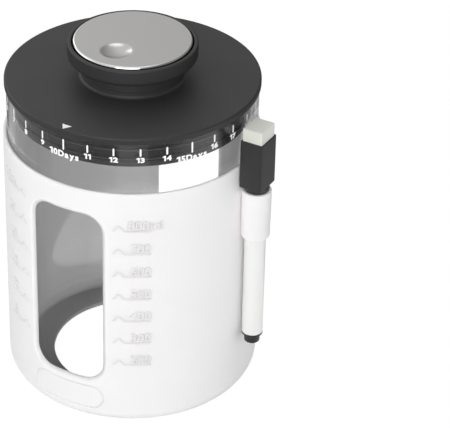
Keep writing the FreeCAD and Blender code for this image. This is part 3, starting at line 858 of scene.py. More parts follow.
class NodeTool:
    """A Geometry Nodes tree that repeats one mark, with named inputs for its sizes."""

    def __init__(self, name: str, sizes: Sequence[str]) -> None:
        """Start the tree with the mark, how many there are, their sizes and their ink as inputs.

        Args:
            name: the tree's name.
            sizes: names of the sizes.
        """
        self.tree = bpy.data.node_groups.new(name, "GeometryNodeTree")
        kinds = {"Mark": "Geometry", "Count": "Int", **dict.fromkeys(sizes, "Float"), "Material": "Material"}
        self.sockets: dict[str, str] = {}
        for key, kind in kinds.items():
            socket = self.tree.interface.new_socket(key, in_out="INPUT", socket_type=f"NodeSocket{kind}")
            self.sockets[key] = socket.identifier
        self.tree.interface.new_socket("Marks", in_out="OUTPUT", socket_type="NodeSocketGeometry")
        self.inputs = self.tree.nodes.new("NodeGroupInput")

    def close(self, instances: Socket) -> None:
        """End the tree: make the instances real and give them their material.

        Args:
            instances: the marks.
        """
        real = add_node(self.tree, "GeometryNodeRealizeInstances", {0: instances})
        inked = add_node(self.tree, "GeometryNodeSetMaterial", {
            "Geometry": real.outputs[0], "Material": self.inputs.outputs["Material"],
        })
        add_node(self.tree, "NodeGroupOutput", {0: inked.outputs[0]})

    def run(self, name: str, mark: bpy.types.Mesh, values: dict[str, object]) -> bpy.types.Mesh:
        """Repeat a mark and return the result as a plain mesh.

        Args:
            name: the new mesh's name.
            mark: the mark to repeat.
            values: what each named input gets.

        Returns:
            The mesh with all the marks.
        """
        carrier = bpy.data.objects.new(name, mark)
        bpy.context.scene.collection.objects.link(carrier)
        modifier = carrier.modifiers.new("repeat", "NODES")
        modifier.node_group = self.tree
        for key, value in values.items():
            modifier[self.sockets[key]] = value
        graph = bpy.context.evaluated_depsgraph_get()
        mesh = bpy.data.meshes.new_from_object(carrier.evaluated_get(graph), depsgraph=graph)
        carrier.modifiers.remove(modifier)
        bpy.data.objects.remove(carrier)
        bpy.data.meshes.remove(mark)
        mesh.name = name
        return mesh


class StackTool(NodeTool):
    """Repeats a mark upwards at an even rise."""

    def __init__(self) -> None:
        """Build the tree: a line of points, with the mark on each."""
        super().__init__("stack_of_marks", ("First Height", "Rise"))
        given = self.inputs.outputs
        first = add_node(self.tree, "ShaderNodeCombineXYZ", {"Z": given["First Height"]})
        rise = add_node(self.tree, "ShaderNodeCombineXYZ", {"Z": given["Rise"]})
        line = add_node(self.tree, "GeometryNodeMeshLine", {
            "Count": given["Count"], "Start Location": first.outputs[0], "Offset": rise.outputs[0],
        })
        marks = add_node(self.tree, "GeometryNodeInstanceOnPoints", {
            "Points": line.outputs[0], "Instance": given["Mark"],
        })
        self.close(marks.outputs[0])


class RoundTool(NodeTool):
    """Repeats a mark about the Z axis, with a longer one at even steps."""

    def __init__(self) -> None:
        """Build the tree: points on the axis, with the mark on each turned by its number."""
        super().__init__("round_of_marks", (
            "Height", "First Angle", "Step Angle", "Long Every", "Long Share",
        ))
        given = self.inputs.outputs
        tree = self.tree
        top = add_node(tree, "ShaderNodeCombineXYZ", {"Z": given["Height"]})
        points = add_node(tree, "GeometryNodePoints", {"Count": given["Count"], "Position": top.outputs[0]})
        index = add_node(tree, "GeometryNodeInputIndex").outputs[0]
        swing = add_node(tree, "ShaderNodeMath", {
            0: index, 1: given["Step Angle"], 2: given["First Angle"],
        }, operation="MULTIPLY_ADD")
        turn = add_node(tree, "ShaderNodeCombineXYZ", {"Z": swing.outputs[0]})
        number = add_node(tree, "ShaderNodeMath", {0: index, 1: 1.0}, operation="ADD")
        past = add_node(tree, "ShaderNodeMath", {
            0: number.outputs[0], 1: given["Long Every"],
        }, operation="MODULO")
        is_long = add_node(tree, "ShaderNodeMath", {0: past.outputs[0], 1: 0.5}, operation="LESS_THAN")
        length = add_node(tree, "ShaderNodeMix", {
            0: is_long.outputs[0], 2: 1.0, 3: given["Long Share"],
        }, data_type="FLOAT")
        size = add_node(tree, "ShaderNodeCombineXYZ", {"X": 1.0, "Y": 1.0, "Z": length.outputs[0]})
        marks = add_node(tree, "GeometryNodeInstanceOnPoints", {
            "Points": points.outputs[0], "Instance": given["Mark"],
            "Rotation": turn.outputs[0], "Scale": size.outputs[0],
        })
        self.close(marks.outputs[0])


@dataclass
class VolumeScale:
    """One of the raised scales beside the front window: a swelling line under each number."""

    name: str
    side: Side
    numbers: Sequence[str]
    first_height: float
    rise: float
    number_bearing: float
    surface: float = 57.1
    start_bearing: float = 22.5
    swell: float = 5.4
    swell_height: float = 2.3
    line: float = 16.8
    stroke: float = 0.9
    crest: float = 0.4
    relief: float = 0.25
    root: float = 0.15
    numeral: float = 4.3
    numeral_weight: float = 0.05
    numeral_bevel: float = 0.08
    numeral_lift: float = 0.75
    letter_shift: float = 1.1
    steps: int = 56

    def mark(self) -> bpy.types.Mesh:
        """One swelling line at height 0.

        Returns:
            The line's mesh on the sleeve's surface.
        """
        flat = Shell()
        sections = []
        half, crest = self.stroke / 2, self.crest / 2
        section = ((-half, -self.root), (-crest, self.relief), (crest, self.relief), (half, -self.root))
        for step in range(self.steps + 1):
            along = self.line * step / self.steps
            up = lean = 0.0
            if along < self.swell:
                phase = 2 * math.pi * along / self.swell
                up = self.swell_height * (1 - math.cos(phase)) / 2
                lean = math.atan(self.swell_height * math.pi / self.swell * math.sin(phase))
            sections.append(flat.add_all([
                (self.side.value * (along - math.sin(lean) * off), up + math.cos(lean) * off, out)
                for off, out in section
            ]))
        flat.loft(sections)
        shell = Shell()
        wrap(flat, shell, self.surface, self.side.value * self.start_bearing, 0.0)
        # The swelling line is coloured with the pale grey that paints the shade of an engraved stroke.
        return shell.mesh(f"{self.name}_mark", [PAINTED_SHADE_GREY])

    def build(self, tool: StackTool) -> None:
        """Raise the lines and their numbers on the sleeve.

        Args:
            tool: the tree that stacks the lines.
        """
        lines = tool.run(f"{self.name}_lines", self.mark(), {
            "Count": len(self.numbers),
            "First Height": self.first_height * MM,
            "Rise": self.rise * MM,
            "Material": material_of(PAINTED_SHADE_GREY),
        })
        settle(lines, Body.SLEEVE)
        # The numbers get the same pale grey of painted shade as the lines.
        numerals = Shell()
        for order, number in enumerate(self.numbers):
            text = lettering(
                number, self.numeral, self.relief + self.root, self.numeral_weight, self.numeral_bevel
            )
            height = self.first_height + self.rise * order + self.numeral_lift
            bearing = self.number_bearing + self.middle_shift(number)
            wrap(text, numerals, self.surface - self.root, bearing, height)
        numerals.piece(f"{self.name}_numerals", Body.SLEEVE, [PAINTED_SHADE_GREY])

    def middle_shift(self, number: str) -> float:
        """Degrees by which a number with its unit is moved, so that its digits stay in line with the rest."""
        letters = sum(character.isalpha() for character in number)
        return self.side.value * self.letter_shift * letters


@dataclass
class SiliconeSleeve:
    """White sleeve: an open base, a bevelled window front and back, a grooved plate and the pen's loop."""

    radius: float = 57.1
    bore: float = 55.5
    height: float = 122.0
    base: float = 2.2
    hole: float = 36.5
    hole_round: float = 0.6
    foot_flat: float = 44.0
    heel: float = 8.6
    heel_steps: int = 9
    inner_heel: float = 7.3
    lip: float = 0.6
    lip_steps: int = 5
    # The windows, and the offsets and depths of the bevel round them.
    window_half: float = 17.0
    window_low: float = 23.4
    window_high: float = 109.0
    window_corner: float = 8.5
    bevel: tuple[Point2, ...] = (
        (2.4, 0.0), (2.15, 0.02), (1.9, 0.1), (1.65, 0.25), (1.2, 0.63),
        (0.75, 1.01), (0.35, 1.33), (0.12, 1.48), (0.0, 1.56),
    )
    # The plate under the front window, and its groove.
    plate_half: float = 17.84
    plate_low: float = 8.2
    plate_high: float = 19.8
    groove_depth: float = 0.4
    groove_width: float = 0.95
    groove_steps: int = 8
    # The patches that are left out of the grid, and the loops between their edges and what they hold.
    outer_shares: Point2 = (0.4, 0.8)
    inner_shares: Point2 = (0.35, 0.7)
    plate_share: float = 0.6
    patch_low: float = 6.9
    patch_split: float = 20.6
    patch_high: float = 113.0
    columns: int = 240
    half_patch: int = 15
    plate_rows: int = 9
    window_rows: int = 60
    # The pen's loop.
    loop_axis: float = 62.7
    loop_bore: float = 5.0
    loop_low: float = 86.6
    loop_high: float = 110.0
    loop_foot: float = 6.3
    loop_mouth: float = 6.6
    loop_edge: float = 0.45
    loop_bore_edge: float = 0.3
    loop_segments: int = 72

    def __post_init__(self) -> None:
        """Work out the section, as rows of (radius, height), and where the patches start and end in it."""
        foot = [(self.hole, self.base), (self.hole, 0.0, self.hole_round), (self.foot_flat, 0.0)]
        rows: list[Point2] = soften(foot, False)[1:]
        last = math.acos(1 - self.patch_low / self.heel)
        for step in range(self.heel_steps):
            angle = last * step / self.heel_steps
            rows.append((self.radius - self.heel * (1 - math.sin(angle)), self.heel * (1 - math.cos(angle))))
        self.plate_start = len(rows)
        for step in range(self.plate_rows):
            height = self.patch_low + (self.patch_split - self.patch_low) * step / self.plate_rows
            rows.append((self.wall_radius(height), height))
        self.outer_start = len(rows)
        rise = (self.patch_high - self.patch_split) / self.window_rows
        levels = [self.patch_split + rise * step for step in range(self.window_rows + 1)]
        rows += [(self.radius, level) for level in levels]
        top = soften([
            (self.radius, levels[-1]),
            (self.radius, self.height, self.lip),
            (self.bore, self.height, self.lip),
            (self.bore, levels[-1]),
        ], False, self.lip_steps)
        rows += top[1:-1]
        self.inner_start = len(rows)
        rows += [(self.bore, level) for level in reversed(levels)]
        rows += soften([
            (self.bore, self.patch_split),
            (self.bore, self.base, self.inner_heel),
            (self.hole, self.base),
        ], False, self.heel_steps)[1:]
        self.rows = rows
        self.shell = Shell()
        self.grid: dict[tuple[int, int], int] = {}

    def wall_radius(self, height: float) -> float:
        """Radius of the outside at a height, on the wall or on the heel's round."""
        drop = max(0.0, self.heel - height)
        return self.radius - self.heel + math.sqrt(self.heel ** 2 - drop ** 2)

    def build(self) -> None:
        """Make the sleeve with its loop, and the scales on it."""
        self.skin()
        for facing in Facing:
            self.window(facing)
        self.plate()
        self.loop()
        # The second finish is the pale grey of painted shade on the plate's groove.
        self.shell.piece("sleeve_moulding", Body.SLEEVE, [SILICONE, PAINTED_SHADE_GREY], ["silicone_sleeve"])
        stack = StackTool()
        VolumeScale(
            "millilitre_scale", Side.RIGHT, ("200", "300", "400", "500", "600", "700", "800ml"),
            first_height=33.7, rise=11.65, number_bearing=34.8,
        ).build(stack)
        VolumeScale(
            "ounce_scale", Side.LEFT, ("8", "12", "16", "20", "24", "28oz"),
            first_height=38.0, rise=13.78, number_bearing=-34.8,
        ).build(stack)

    def bearing(self, column: int) -> float:
        """Angle of a column, from -Y towards +X."""
        return 2 * math.pi * column / self.columns

    def at(self, row: int, column: int) -> int:
        """The point where a row meets a column, added when it is first asked for.

        Args:
            row: number of the row in the section.
            column: number of the column, counted on past a full turn.

        Returns:
            The point's number.
        """
        key = (row, column % self.columns)
        if key not in self.grid:
            radius, height = self.rows[row]
            angle = self.bearing(key[1])
            self.grid[key] = self.shell.add((radius * math.sin(angle), -radius * math.cos(angle), height))
        return self.grid[key]

    def skin(self) -> None:
        """Cover everything outside the patches with a regular grid."""
        half_turn = self.columns // 2
        count = len(self.rows)
        for row in range(count):
            in_plate = self.plate_start <= row < self.outer_start
            in_outer = self.outer_start <= row < self.outer_start + self.window_rows
            in_inner = self.inner_start <= row < self.inner_start + self.window_rows
            for column in range(self.columns):
                middle = (column + 0.5 + half_turn) % self.columns - half_turn
                to_front = abs(middle) < self.half_patch
                to_back = abs(middle) > half_turn - self.half_patch
                if (in_outer or in_inner) and (to_front or to_back) or in_plate and to_front:
                    continue
                after = (row + 1) % count
                corners = ((row, column), (row, column + 1), (after, column + 1), (after, column))
                self.shell.face([self.at(*corner) for corner in corners])

    def edge_of_patch(self, facing: Facing, rows: Sequence[int]) -> tuple[list[int], list[Point2]]:
        """The grid's points round a patch, anticlockwise from its lower left corner.

        Args:
            facing: the side of the sleeve.
            rows: the patch's rows, from the lowest to the highest.

        Returns:
            The points' numbers, and where they lie as (across, up).
        """
        middle = 0 if facing is Facing.FRONT else self.columns // 2
        left, right = middle - self.half_patch, middle + self.half_patch
        spots = [(rows[0], column) for column in range(left, right)]
        spots += [(row, right) for row in rows[:-1]]
        spots += [(rows[-1], column) for column in range(right, left, -1)]
        spots += [(row, left) for row in reversed(rows[1:])]
        numbers = [self.at(*spot) for spot in spots]
        flat = []
        for row, column in spots:
            radius, height = self.rows[row]
            flat.append((radius * math.sin(self.bearing(column - middle)), height))
        return numbers, flat

    def ring(
        self, outline: Sequence[Point2], facing: Facing, radius: Optional[float] = None, depth: float = 0.0
    ) -> list[int]:
        """Add a loop of (across, up) on the sleeve.

        Args:
            outline: the loop's points.
            facing: the side of the sleeve.
            radius: the radius that it lies at, or None for the outside.
            depth: how far it lies under that.

        Returns:
            The points' numbers.
        """
        numbers = []
        sign = facing.value
        for across, up in outline:
            reach = (self.wall_radius(up) if radius is None else radius) - depth
            numbers.append(self.shell.add((across * sign, -math.sqrt(reach ** 2 - across ** 2) * sign, up)))
        return numbers

    def grow(
        self, loop: Sequence[int], outline: Sequence[Point2], facing: Facing,
        radius: Optional[float] = None, depth: float = 0.0, finish: int = 0,
    ) -> list[int]:
        """Add a loop as ring() does, and join the loop before it to it.

        Args:
            loop: numbers of the points of the loop before it.
            outline: the new loop's points.
            facing: the side of the sleeve.
            radius: the radius that it lies at, or None for the outside.
            depth: how far it lies under that.
            finish: number of the faces' finish.

        Returns:
            The new points' numbers.
        """
        following = self.ring(outline, facing, radius, depth)
        self.shell.bridge(loop, following, finish=finish)
        return following

    def window(self, facing: Facing) -> None:
        """Fill a window's patches, outside and inside, round its bevelled edge.

        Args:
            facing: the side that the window looks to.
        """
        across, up = 2 * self.half_patch, self.window_rows

        def outline(offset: float) -> list[Point2]:
            """The window's outline.

            Args:
                offset: how far it is grown all round.

            Returns:
                The points (across, up).
            """
            return soft_rectangle(
                self.window_half + offset, self.window_low - offset, self.window_high + offset,
                self.window_corner + offset, across, up,
            )

        outer_rows = list(range(self.outer_start, self.outer_start + up + 1))
        loop, flat = self.edge_of_patch(facing, outer_rows)
        for share in self.outer_shares:
            loop = self.grow(loop, between(flat, outline(self.bevel[0][0]), share), facing)
        for offset, depth in self.bevel:
            loop = self.grow(loop, outline(offset), facing, depth=depth)
        throat = self.grow(loop, outline(0.0), facing, self.bore)
        inner_rows = list(range(self.inner_start + up, self.inner_start - 1, -1))
        loop, flat = self.edge_of_patch(facing, inner_rows)
        for share in self.inner_shares:
            loop = self.grow(loop, between(flat, outline(0.0), share), facing, self.bore)
        self.shell.bridge(loop, throat)

    def plate(self) -> None:
        """Groove the outline of the bare oval plate under the front window."""
        across, up = 2 * self.half_patch, self.plate_rows

        def outline(offset: float) -> list[Point2]:
            """The plate's outline, bent round the sleeve.

            Args:
                offset: how far it is grown all round.

            Returns:
                The points (across, up).
            """
            half, low, high = self.plate_half + offset, self.plate_low - offset, self.plate_high + offset
            loop = soft_rectangle(half, low, high, (high - low) / 2, across, up)
            return [(self.radius * math.sin(along / self.radius), height) for along, height in loop]

        rows = list(range(self.plate_start, self.outer_start + 1))
        loop, flat = self.edge_of_patch(Facing.FRONT, rows)
        rim = self.groove_width / 2
        loop = self.grow(loop, between(flat, outline(rim), self.plate_share), Facing.FRONT)
        for step in range(self.groove_steps + 1):
            share = step / self.groove_steps
            depth = self.groove_depth * math.sin(math.pi * share)
            inner = outline(rim - self.groove_width * share)
            # Past the groove's outer rim the faces take the pale grey that paints the groove's shade.
            loop = self.grow(loop, inner, Facing.FRONT, depth=depth, finish=1 if step > 0 else 0)
        self.fill(loop, inner, across, up)

    def fill(self, loop: Sequence[int], flat: Sequence[Point2], across: int, up: int) -> None:
        """Fill a loop on the plate with a grid that follows its four sides.

        Args:
            loop: numbers of the loop's points, from its lower left corner.
            flat: where they lie as (across, up).
            across: steps along each level side.
            up: steps along each upright side.
        """
        count = len(loop)
        rows: list[list[int]] = []
        for row in range(up + 1):
            line = []
            for column in range(across + 1):
                low, high = column, across + up + (across - column)
                left, right = (count - row) % count, across + row
                if row == 0 or row == up:
                    line.append(loop[low if row == 0 else high % count])
                    continue
                if column == 0 or column == across:
                    line.append(loop[left if column == 0 else right])
                    continue
                s, t = column / across, row / up
                spot = []
                for axis in (0, 1):
                    edges = (1 - t) * flat[low][axis] + t * flat[high][axis]
                    edges += (1 - s) * flat[left][axis] + s * flat[right][axis]
                    corners = (1 - s) * (1 - t) * flat[0][axis] + s * (1 - t) * flat[across][axis]
                    corners += (1 - s) * t * flat[across * 2 + up][axis] + s * t * flat[across + up][axis]
                    spot.append(edges - corners)
                line += self.ring([tuple(spot)], Facing.FRONT)
            rows.append(line)
        for first, second in zip(rows, rows[1:]):
            self.shell.bridge(first, second, closed=False)

    def loop(self) -> None:
        """Add the loop that holds the pen, moulded on the sleeve's side."""
        section = soften([
            (self.loop_bore, self.loop_low, self.loop_bore_edge),
            (self.loop_foot, self.loop_low, self.loop_edge),
            (self.loop_mouth, self.loop_high, self.loop_edge),
            (self.loop_bore, self.loop_high, self.loop_bore_edge),
        ])
        self.shell.turn(section, self.loop_segments, (self.loop_axis, 0.0))


@dataclass
class GlassJar:
    """Straight glass jar with a thick floor, and the day scale printed round its mouth."""

    radius: float = 55.2
    bore: float = 52.2
    bottom: float = 2.2
    floor: float = 9.2
    rim: float = 145.5
    heel: float = 7.0
    floor_round: float = 1.2
    rim_round: float = 0.45
    segments: int = 240
    steps: int = 9
    # The day scale, with one day's bearing as the photograph shows it.
    days: int = 30
    known_day: int = 10
    known_bearing: float = -0.55
    day_step: float = 11.75
    tick_top: float = 143.4
    tick_height: float = 3.75
    tick_width: float = 0.78
    tick_flat: float = 0.01
    tick_steps: int = 8
    long_every: int = 5
    long_share: float = 1.4
    ink: float = 0.04
    number_style: TypeStyle = TypeStyle(size=2.2, baseline=136.8, weight=0.165, stretch=1.22, gap=0.3)
    word_style: TypeStyle = TypeStyle(size=2.7, baseline=134.8, weight=0.19, stretch=1.04, gap=0.33)

    def build(self) -> None:
        """Make the jar and print the scale on it."""
        turned_piece("jar_glass", Body.JAR, GLASS, "glass_jar", [
            (0.0, self.bottom),
            (self.radius, self.bottom, self.heel),
            (self.radius, self.rim, self.rim_round),
            (self.bore, self.rim, self.rim_round),
            (self.bore, self.floor, self.floor_round),
            (0.0, self.floor),
        ], self.segments, self.steps)
        self.ticks()
        self.numbers()

    def bearing_of(self, day: int) -> float:
        """Degrees from -Y towards +X at a day's tick."""
        return self.known_bearing + (day - self.known_day) * self.day_step

    def ticks(self) -> None:
        """Print a tick for each day, with round ends."""
        half = self.tick_width / 2
        outline = soft_rectangle(
            half, -self.tick_height, 0.0, half - self.tick_flat, self.tick_steps, self.tick_steps
        )
        mark = Shell()
        wrap(slab(outline, self.ink), mark, self.radius, 0.0, 0.0)
        marks = RoundTool().run("day_ticks", mark.mesh("day_tick", [SCREEN_INK]), {
            "Count": self.days,
            "Height": self.tick_top * MM,
            "First Angle": math.radians(self.bearing_of(1)),
            "Step Angle": math.radians(self.day_step),
            "Long Every": float(self.long_every),
            "Long Share": self.long_share,
            "Material": material_of(SCREEN_INK),
        })
        settle(marks, Body.JAR)

    def numbers(self) -> None:
        """Print each day's number under its tick."""
        lines = Shell()
        for day in range(1, self.days + 1):
            is_long = day % self.long_every == 0
            style = self.word_style if is_long else self.number_style
            line = printed_line(f"{day}Days" if is_long else f"{day}", style, self.ink)
            wrap(line, lines, self.radius, self.bearing_of(day), style.baseline)
        lines.piece("day_numbers", Body.JAR, [SCREEN_INK])


@dataclass
class PlugLid:
    """Black lid: the plate with its plug and foot ring, the gasket, the knob and the printed pointer."""

    radius: float = 56.05
    top: float = 148.6
    top_round: float = 0.8
    rim: float = 145.5
    rim_edge: float = 0.5
    crisp: float = 0.2
    # The plug, its hollow with the liner's seat, and the gasket's groove.
    passage: float = 13.0
    plug: float = 50.8
    plug_low: float = 132.6
    plug_edge: float = 0.8
    hollow: float = 46.4
    hollow_top: float = 146.0
    liner_seat: float = 47.7
    liner_top: float = 134.4
    groove: float = 49.0
    groove_low: float = 135.1
    groove_high: float = 143.1
    # The gasket and its lips.
    gasket_bore: float = 49.3
    gasket_low: float = 135.2
    gasket_high: float = 143.0
    gasket_steps: int = 4
    lips: Point2 = (136.1, 140.5)
    lip_reach: float = 51.9
    lip_slope: float = 1.0
    lip_height: float = 1.6
    # The foot ring on the plate, and the knob that stands in it.
    neck: float = 22.2
    neck_foot: float = 1.4
    neck_bore: float = 19.4
    neck_floor: float = 151.8
    foot_high: float = 151.2
    foot_bore: float = 21.0
    foot_floor: float = 149.4
    spigot: float = 20.9
    joint: float = 151.3
    collar: float = 28.4
    collar_low: float = 157.4
    collar_high: float = 165.0
    collar_root: float = 1.5
    collar_heel: float = 2.2
    collar_edge: float = 0.7
    cup: float = 26.6
    cup_floor: float = 159.6
    cup_edge: float = 0.3
    deck_hole: float = 6.1
    segments: int = 240
    knob_segments: int = 180
    # The printed pointer.
    pointer_bearing: float = -0.5
    pointer_root: float = 52.1
    pointer_tip: float = 55.5
    pointer_half: float = 2.3
    pointer_tip_half: float = 0.02
    pointer_steps: int = 10
    ink: float = 0.05

    def build(self) -> None:
        """Make the lid's pieces, and dress the ones inside it."""
        self.plate()
        self.gasket()
        self.knob()
        self.pointer()
        for node, finish in (("lid_liner", LID_ABS), ("knob_screws", ZINC), ("vent_seal", SEAL_SILICONE)):
            dress_node(node, finish)

    def plate(self) -> None:
        """Turn the plate with its plug, groove and foot ring."""
        turned_piece("lid_moulding", Body.LID, LID_ABS, "lid_plate", [
            (self.passage, self.hollow_top),
            (self.hollow, self.hollow_top),
            (self.hollow, self.liner_top),
            (self.liner_seat, self.liner_top),
            (self.liner_seat, self.plug_low, self.crisp),
            (self.plug, self.plug_low, self.plug_edge),
            (self.plug, self.groove_low, self.crisp),
            (self.groove, self.groove_low),
            (self.groove, self.groove_high),
            (self.plug, self.groove_high, self.crisp),
            (self.plug, self.rim),
            (self.radius, self.rim, self.rim_edge),
            (self.radius, self.top, self.top_round),
            (self.neck, self.top, self.neck_foot),
            (self.neck, self.foot_high, self.crisp),
            (self.foot_bore, self.foot_high),
            (self.foot_bore, self.foot_floor),
            (self.passage, self.foot_floor),
        ], self.segments)

    def gasket(self) -> None:
        """Turn the gasket with its two lips."""
        corners: list[Corner] = [
            (self.gasket_bore, self.gasket_low), (self.plug, self.gasket_low, self.crisp),
        ]
        for root in self.lips:
            corners += [
                (self.plug, root, self.crisp),
                (self.lip_reach, root + self.lip_slope, self.crisp),
                (self.lip_reach, root + self.lip_height, self.crisp),
                (self.plug, root + self.lip_height),
            ]
        corners += [(self.plug, self.gasket_high, self.crisp), (self.gasket_bore, self.gasket_high)]
        turned_piece(
            "gasket_ring", Body.GASKET, SEAL_SILICONE, "lid_gasket", corners, self.segments, self.gasket_steps
        )

    def knob(self) -> None:
        """Turn the knob's neck and cup."""
        turned_piece("knob_moulding", Body.LID, LID_ABS, "knob_body", [
            (self.passage, self.foot_floor),
            (self.spigot, self.foot_floor),
            (self.spigot, self.joint),
            (self.neck, self.joint, self.crisp),
            (self.neck, self.collar_low, self.collar_root),
            (self.collar, self.collar_low, self.collar_heel),
            (self.collar, self.collar_high, self.collar_edge),
            (self.cup, self.collar_high, self.cup_edge),
            (self.cup, self.cup_floor),
            (self.deck_hole, self.cup_floor),
            (self.deck_hole, self.collar_low),
            (self.neck_bore, self.collar_low),
            (self.neck_bore, self.neck_floor),
            (self.passage, self.neck_floor),
        ], self.knob_segments)

    def surface(self, radius: float) -> float:
        """Height of the lid's top at a radius, on the flat or on its edge's round."""
        beyond = max(0.0, radius - (self.radius - self.top_round))
        return self.top - self.top_round + math.sqrt(self.top_round ** 2 - beyond ** 2)

    def pointer(self) -> None:
        """Print the white pointer at the lid's edge, as a thin raised triangle that follows the surface."""
        shell = Shell()
        middle = math.radians(self.pointer_bearing)
        loops = []
        for lift in (-self.ink, self.ink):
            rows = []
            for step in range(self.pointer_steps + 1):
                share = step / self.pointer_steps
                radius = self.pointer_root + (self.pointer_tip - self.pointer_root) * share
                half = max(self.pointer_tip_half, self.pointer_half * (1 - share)) / radius
                angles = [middle + half * side for side in (-1.0, -0.5, 0.0, 0.5, 1.0)]
                height = self.surface(radius) + lift
                rows.append(shell.add_all([
                    (radius * math.sin(angle), -radius * math.cos(angle), height) for angle in angles
                ]))
            for first, second in zip(rows, rows[1:]):
                shell.bridge(first, second, closed=False)
            left, right = [row[0] for row in rows], [row[-1] for row in reversed(rows)]
            loops.append(left + rows[-1][1:-1] + right + rows[0][-2:0:-1])
        shell.bridge(*loops)
        shell.piece("lid_pointer", Body.LID, [SCREEN_INK])


class DialLoop(NamedTuple):
    """A level circle on the dial's sheet, with the number of the finish of the faces that lead to it."""

    centre: Point2
    radius: float
    height: float
    finish: int = 0


@dataclass
class VentDial:
    """Steel dial in the knob's cup: a satin cap with a polished edge and a finger dimple."""

    radius: float = 26.0
    top: float = 165.8
    sheet: float = 0.8
    skirt: float = 2.4
    edge: float = 0.85
    dimple: float = 6.95
    dimple_depth: float = 1.3
    dimple_offset: float = 12.8
    dimple_bearing: float = -2.1
    dimple_lip: float = 0.6
    # How far a side's last loop lies inside its edge, and how high the skirt's lowest band is.
    seam: float = 0.1
    hem: float = 0.3
    # Steps of the bowl and the flats, of the rounds, and round the axis.
    rings: int = 14
    rounds: int = 6
    segments: int = 144

    def build(self) -> None:
        """Make the dial, and dress what turns with it inside the knob."""
        self.cap()
        for node, finish in (("dial_carrier", LID_ABS), ("dial_washer", ZINC), ("dial_screw", ZINC)):
            dress_node(node, finish)

    def sink(self, reach: float) -> float:
        """How deep the dimple is: a ball's hollow with a soft lip.

        Args:
            reach: distance from the dimple's middle.

        Returns:
            The depth there.
        """
        ball = (self.dimple ** 2 + self.dimple_depth ** 2) / (2 * self.dimple_depth)
        inner = self.dimple - self.dimple_lip

        def hollow(distance: float) -> float:
            """Depth of the plain ball's hollow."""
            return self.dimple_depth - ball + math.sqrt(ball ** 2 - distance ** 2)

        if reach <= inner:
            return hollow(reach)
        share = min(1.0, (reach - inner) / (2 * self.dimple_lip))
        return hollow(inner) * (1 - share) ** 2

    def side(self, level: float, edge: float) -> list[DialLoop]:
        """Loops of one side of the sheet, which grow from the dimple's middle to the dial's edge.

        Args:
            level: height of the side's flat.
            edge: radius of its edge.

        Returns:
            The loops in order.
        """
        inside, outside = self.dimple - self.dimple_lip, self.dimple + self.dimple_lip
        bowl = [inside * number / self.rings for number in range(1, self.rings + 1)]
        bowl += [inside + (outside - inside) * number / self.rounds for number in range(1, self.rounds + 1)]
        x, y = self.middle()
        loops = [DialLoop((x, y), reach, level - self.sink(reach)) for reach in bowl]
        for number in range(1, self.rings + 1):
            share = number / self.rings
            reach = outside + (edge - self.seam - outside) * share
            loops.append(DialLoop((x * (1 - share), y * (1 - share)), reach, level))
        return loops

    def middle(self) -> Point2:
        """Where the dimple's middle lies, seen from above."""
        x, y, _ = heading(self.dimple_bearing)
        return self.dimple_offset * x, self.dimple_offset * y

    def cap(self) -> None:
        """Press the cap: its upper side, the round edge, the skirt, and the side under the sheet."""
        shell = Shell()
        origin = (0.0, 0.0)
        flat_edge, inner = self.radius - self.edge, self.radius - self.sheet
        low, under = self.top - self.skirt, self.top - self.sheet
        loops = self.side(self.top, flat_edge)
        for angle in quarter_turn(self.rounds):
            reach = flat_edge + self.edge * math.sin(angle)
            loops.append(DialLoop(origin, reach, self.top - self.edge * (1 - math.cos(angle)), 1))
        for reach, height in (
            (self.radius, low + self.hem), (self.radius, low), (inner, low), (inner, under),
        ):
            loops.append(DialLoop(origin, reach, height, 1))
        loops += reversed(self.side(under, inner)[:-1])
        rings = [shell.circle(loop.centre, loop.radius, loop.height, self.segments) for loop in loops]
        for first, second, loop in zip(rings, rings[1:], loops[1:]):
            shell.bridge(first, second, finish=loop.finish)
        for ring, level in ((rings[0], self.top), (rings[-1], under)):
            shell.fan(ring, shell.add((*self.middle(), level - self.dimple_depth)))
        shell.piece("dial_cap", Body.DIAL, [SATIN_STEEL, BRIGHT_STEEL], ["vent_dial"])


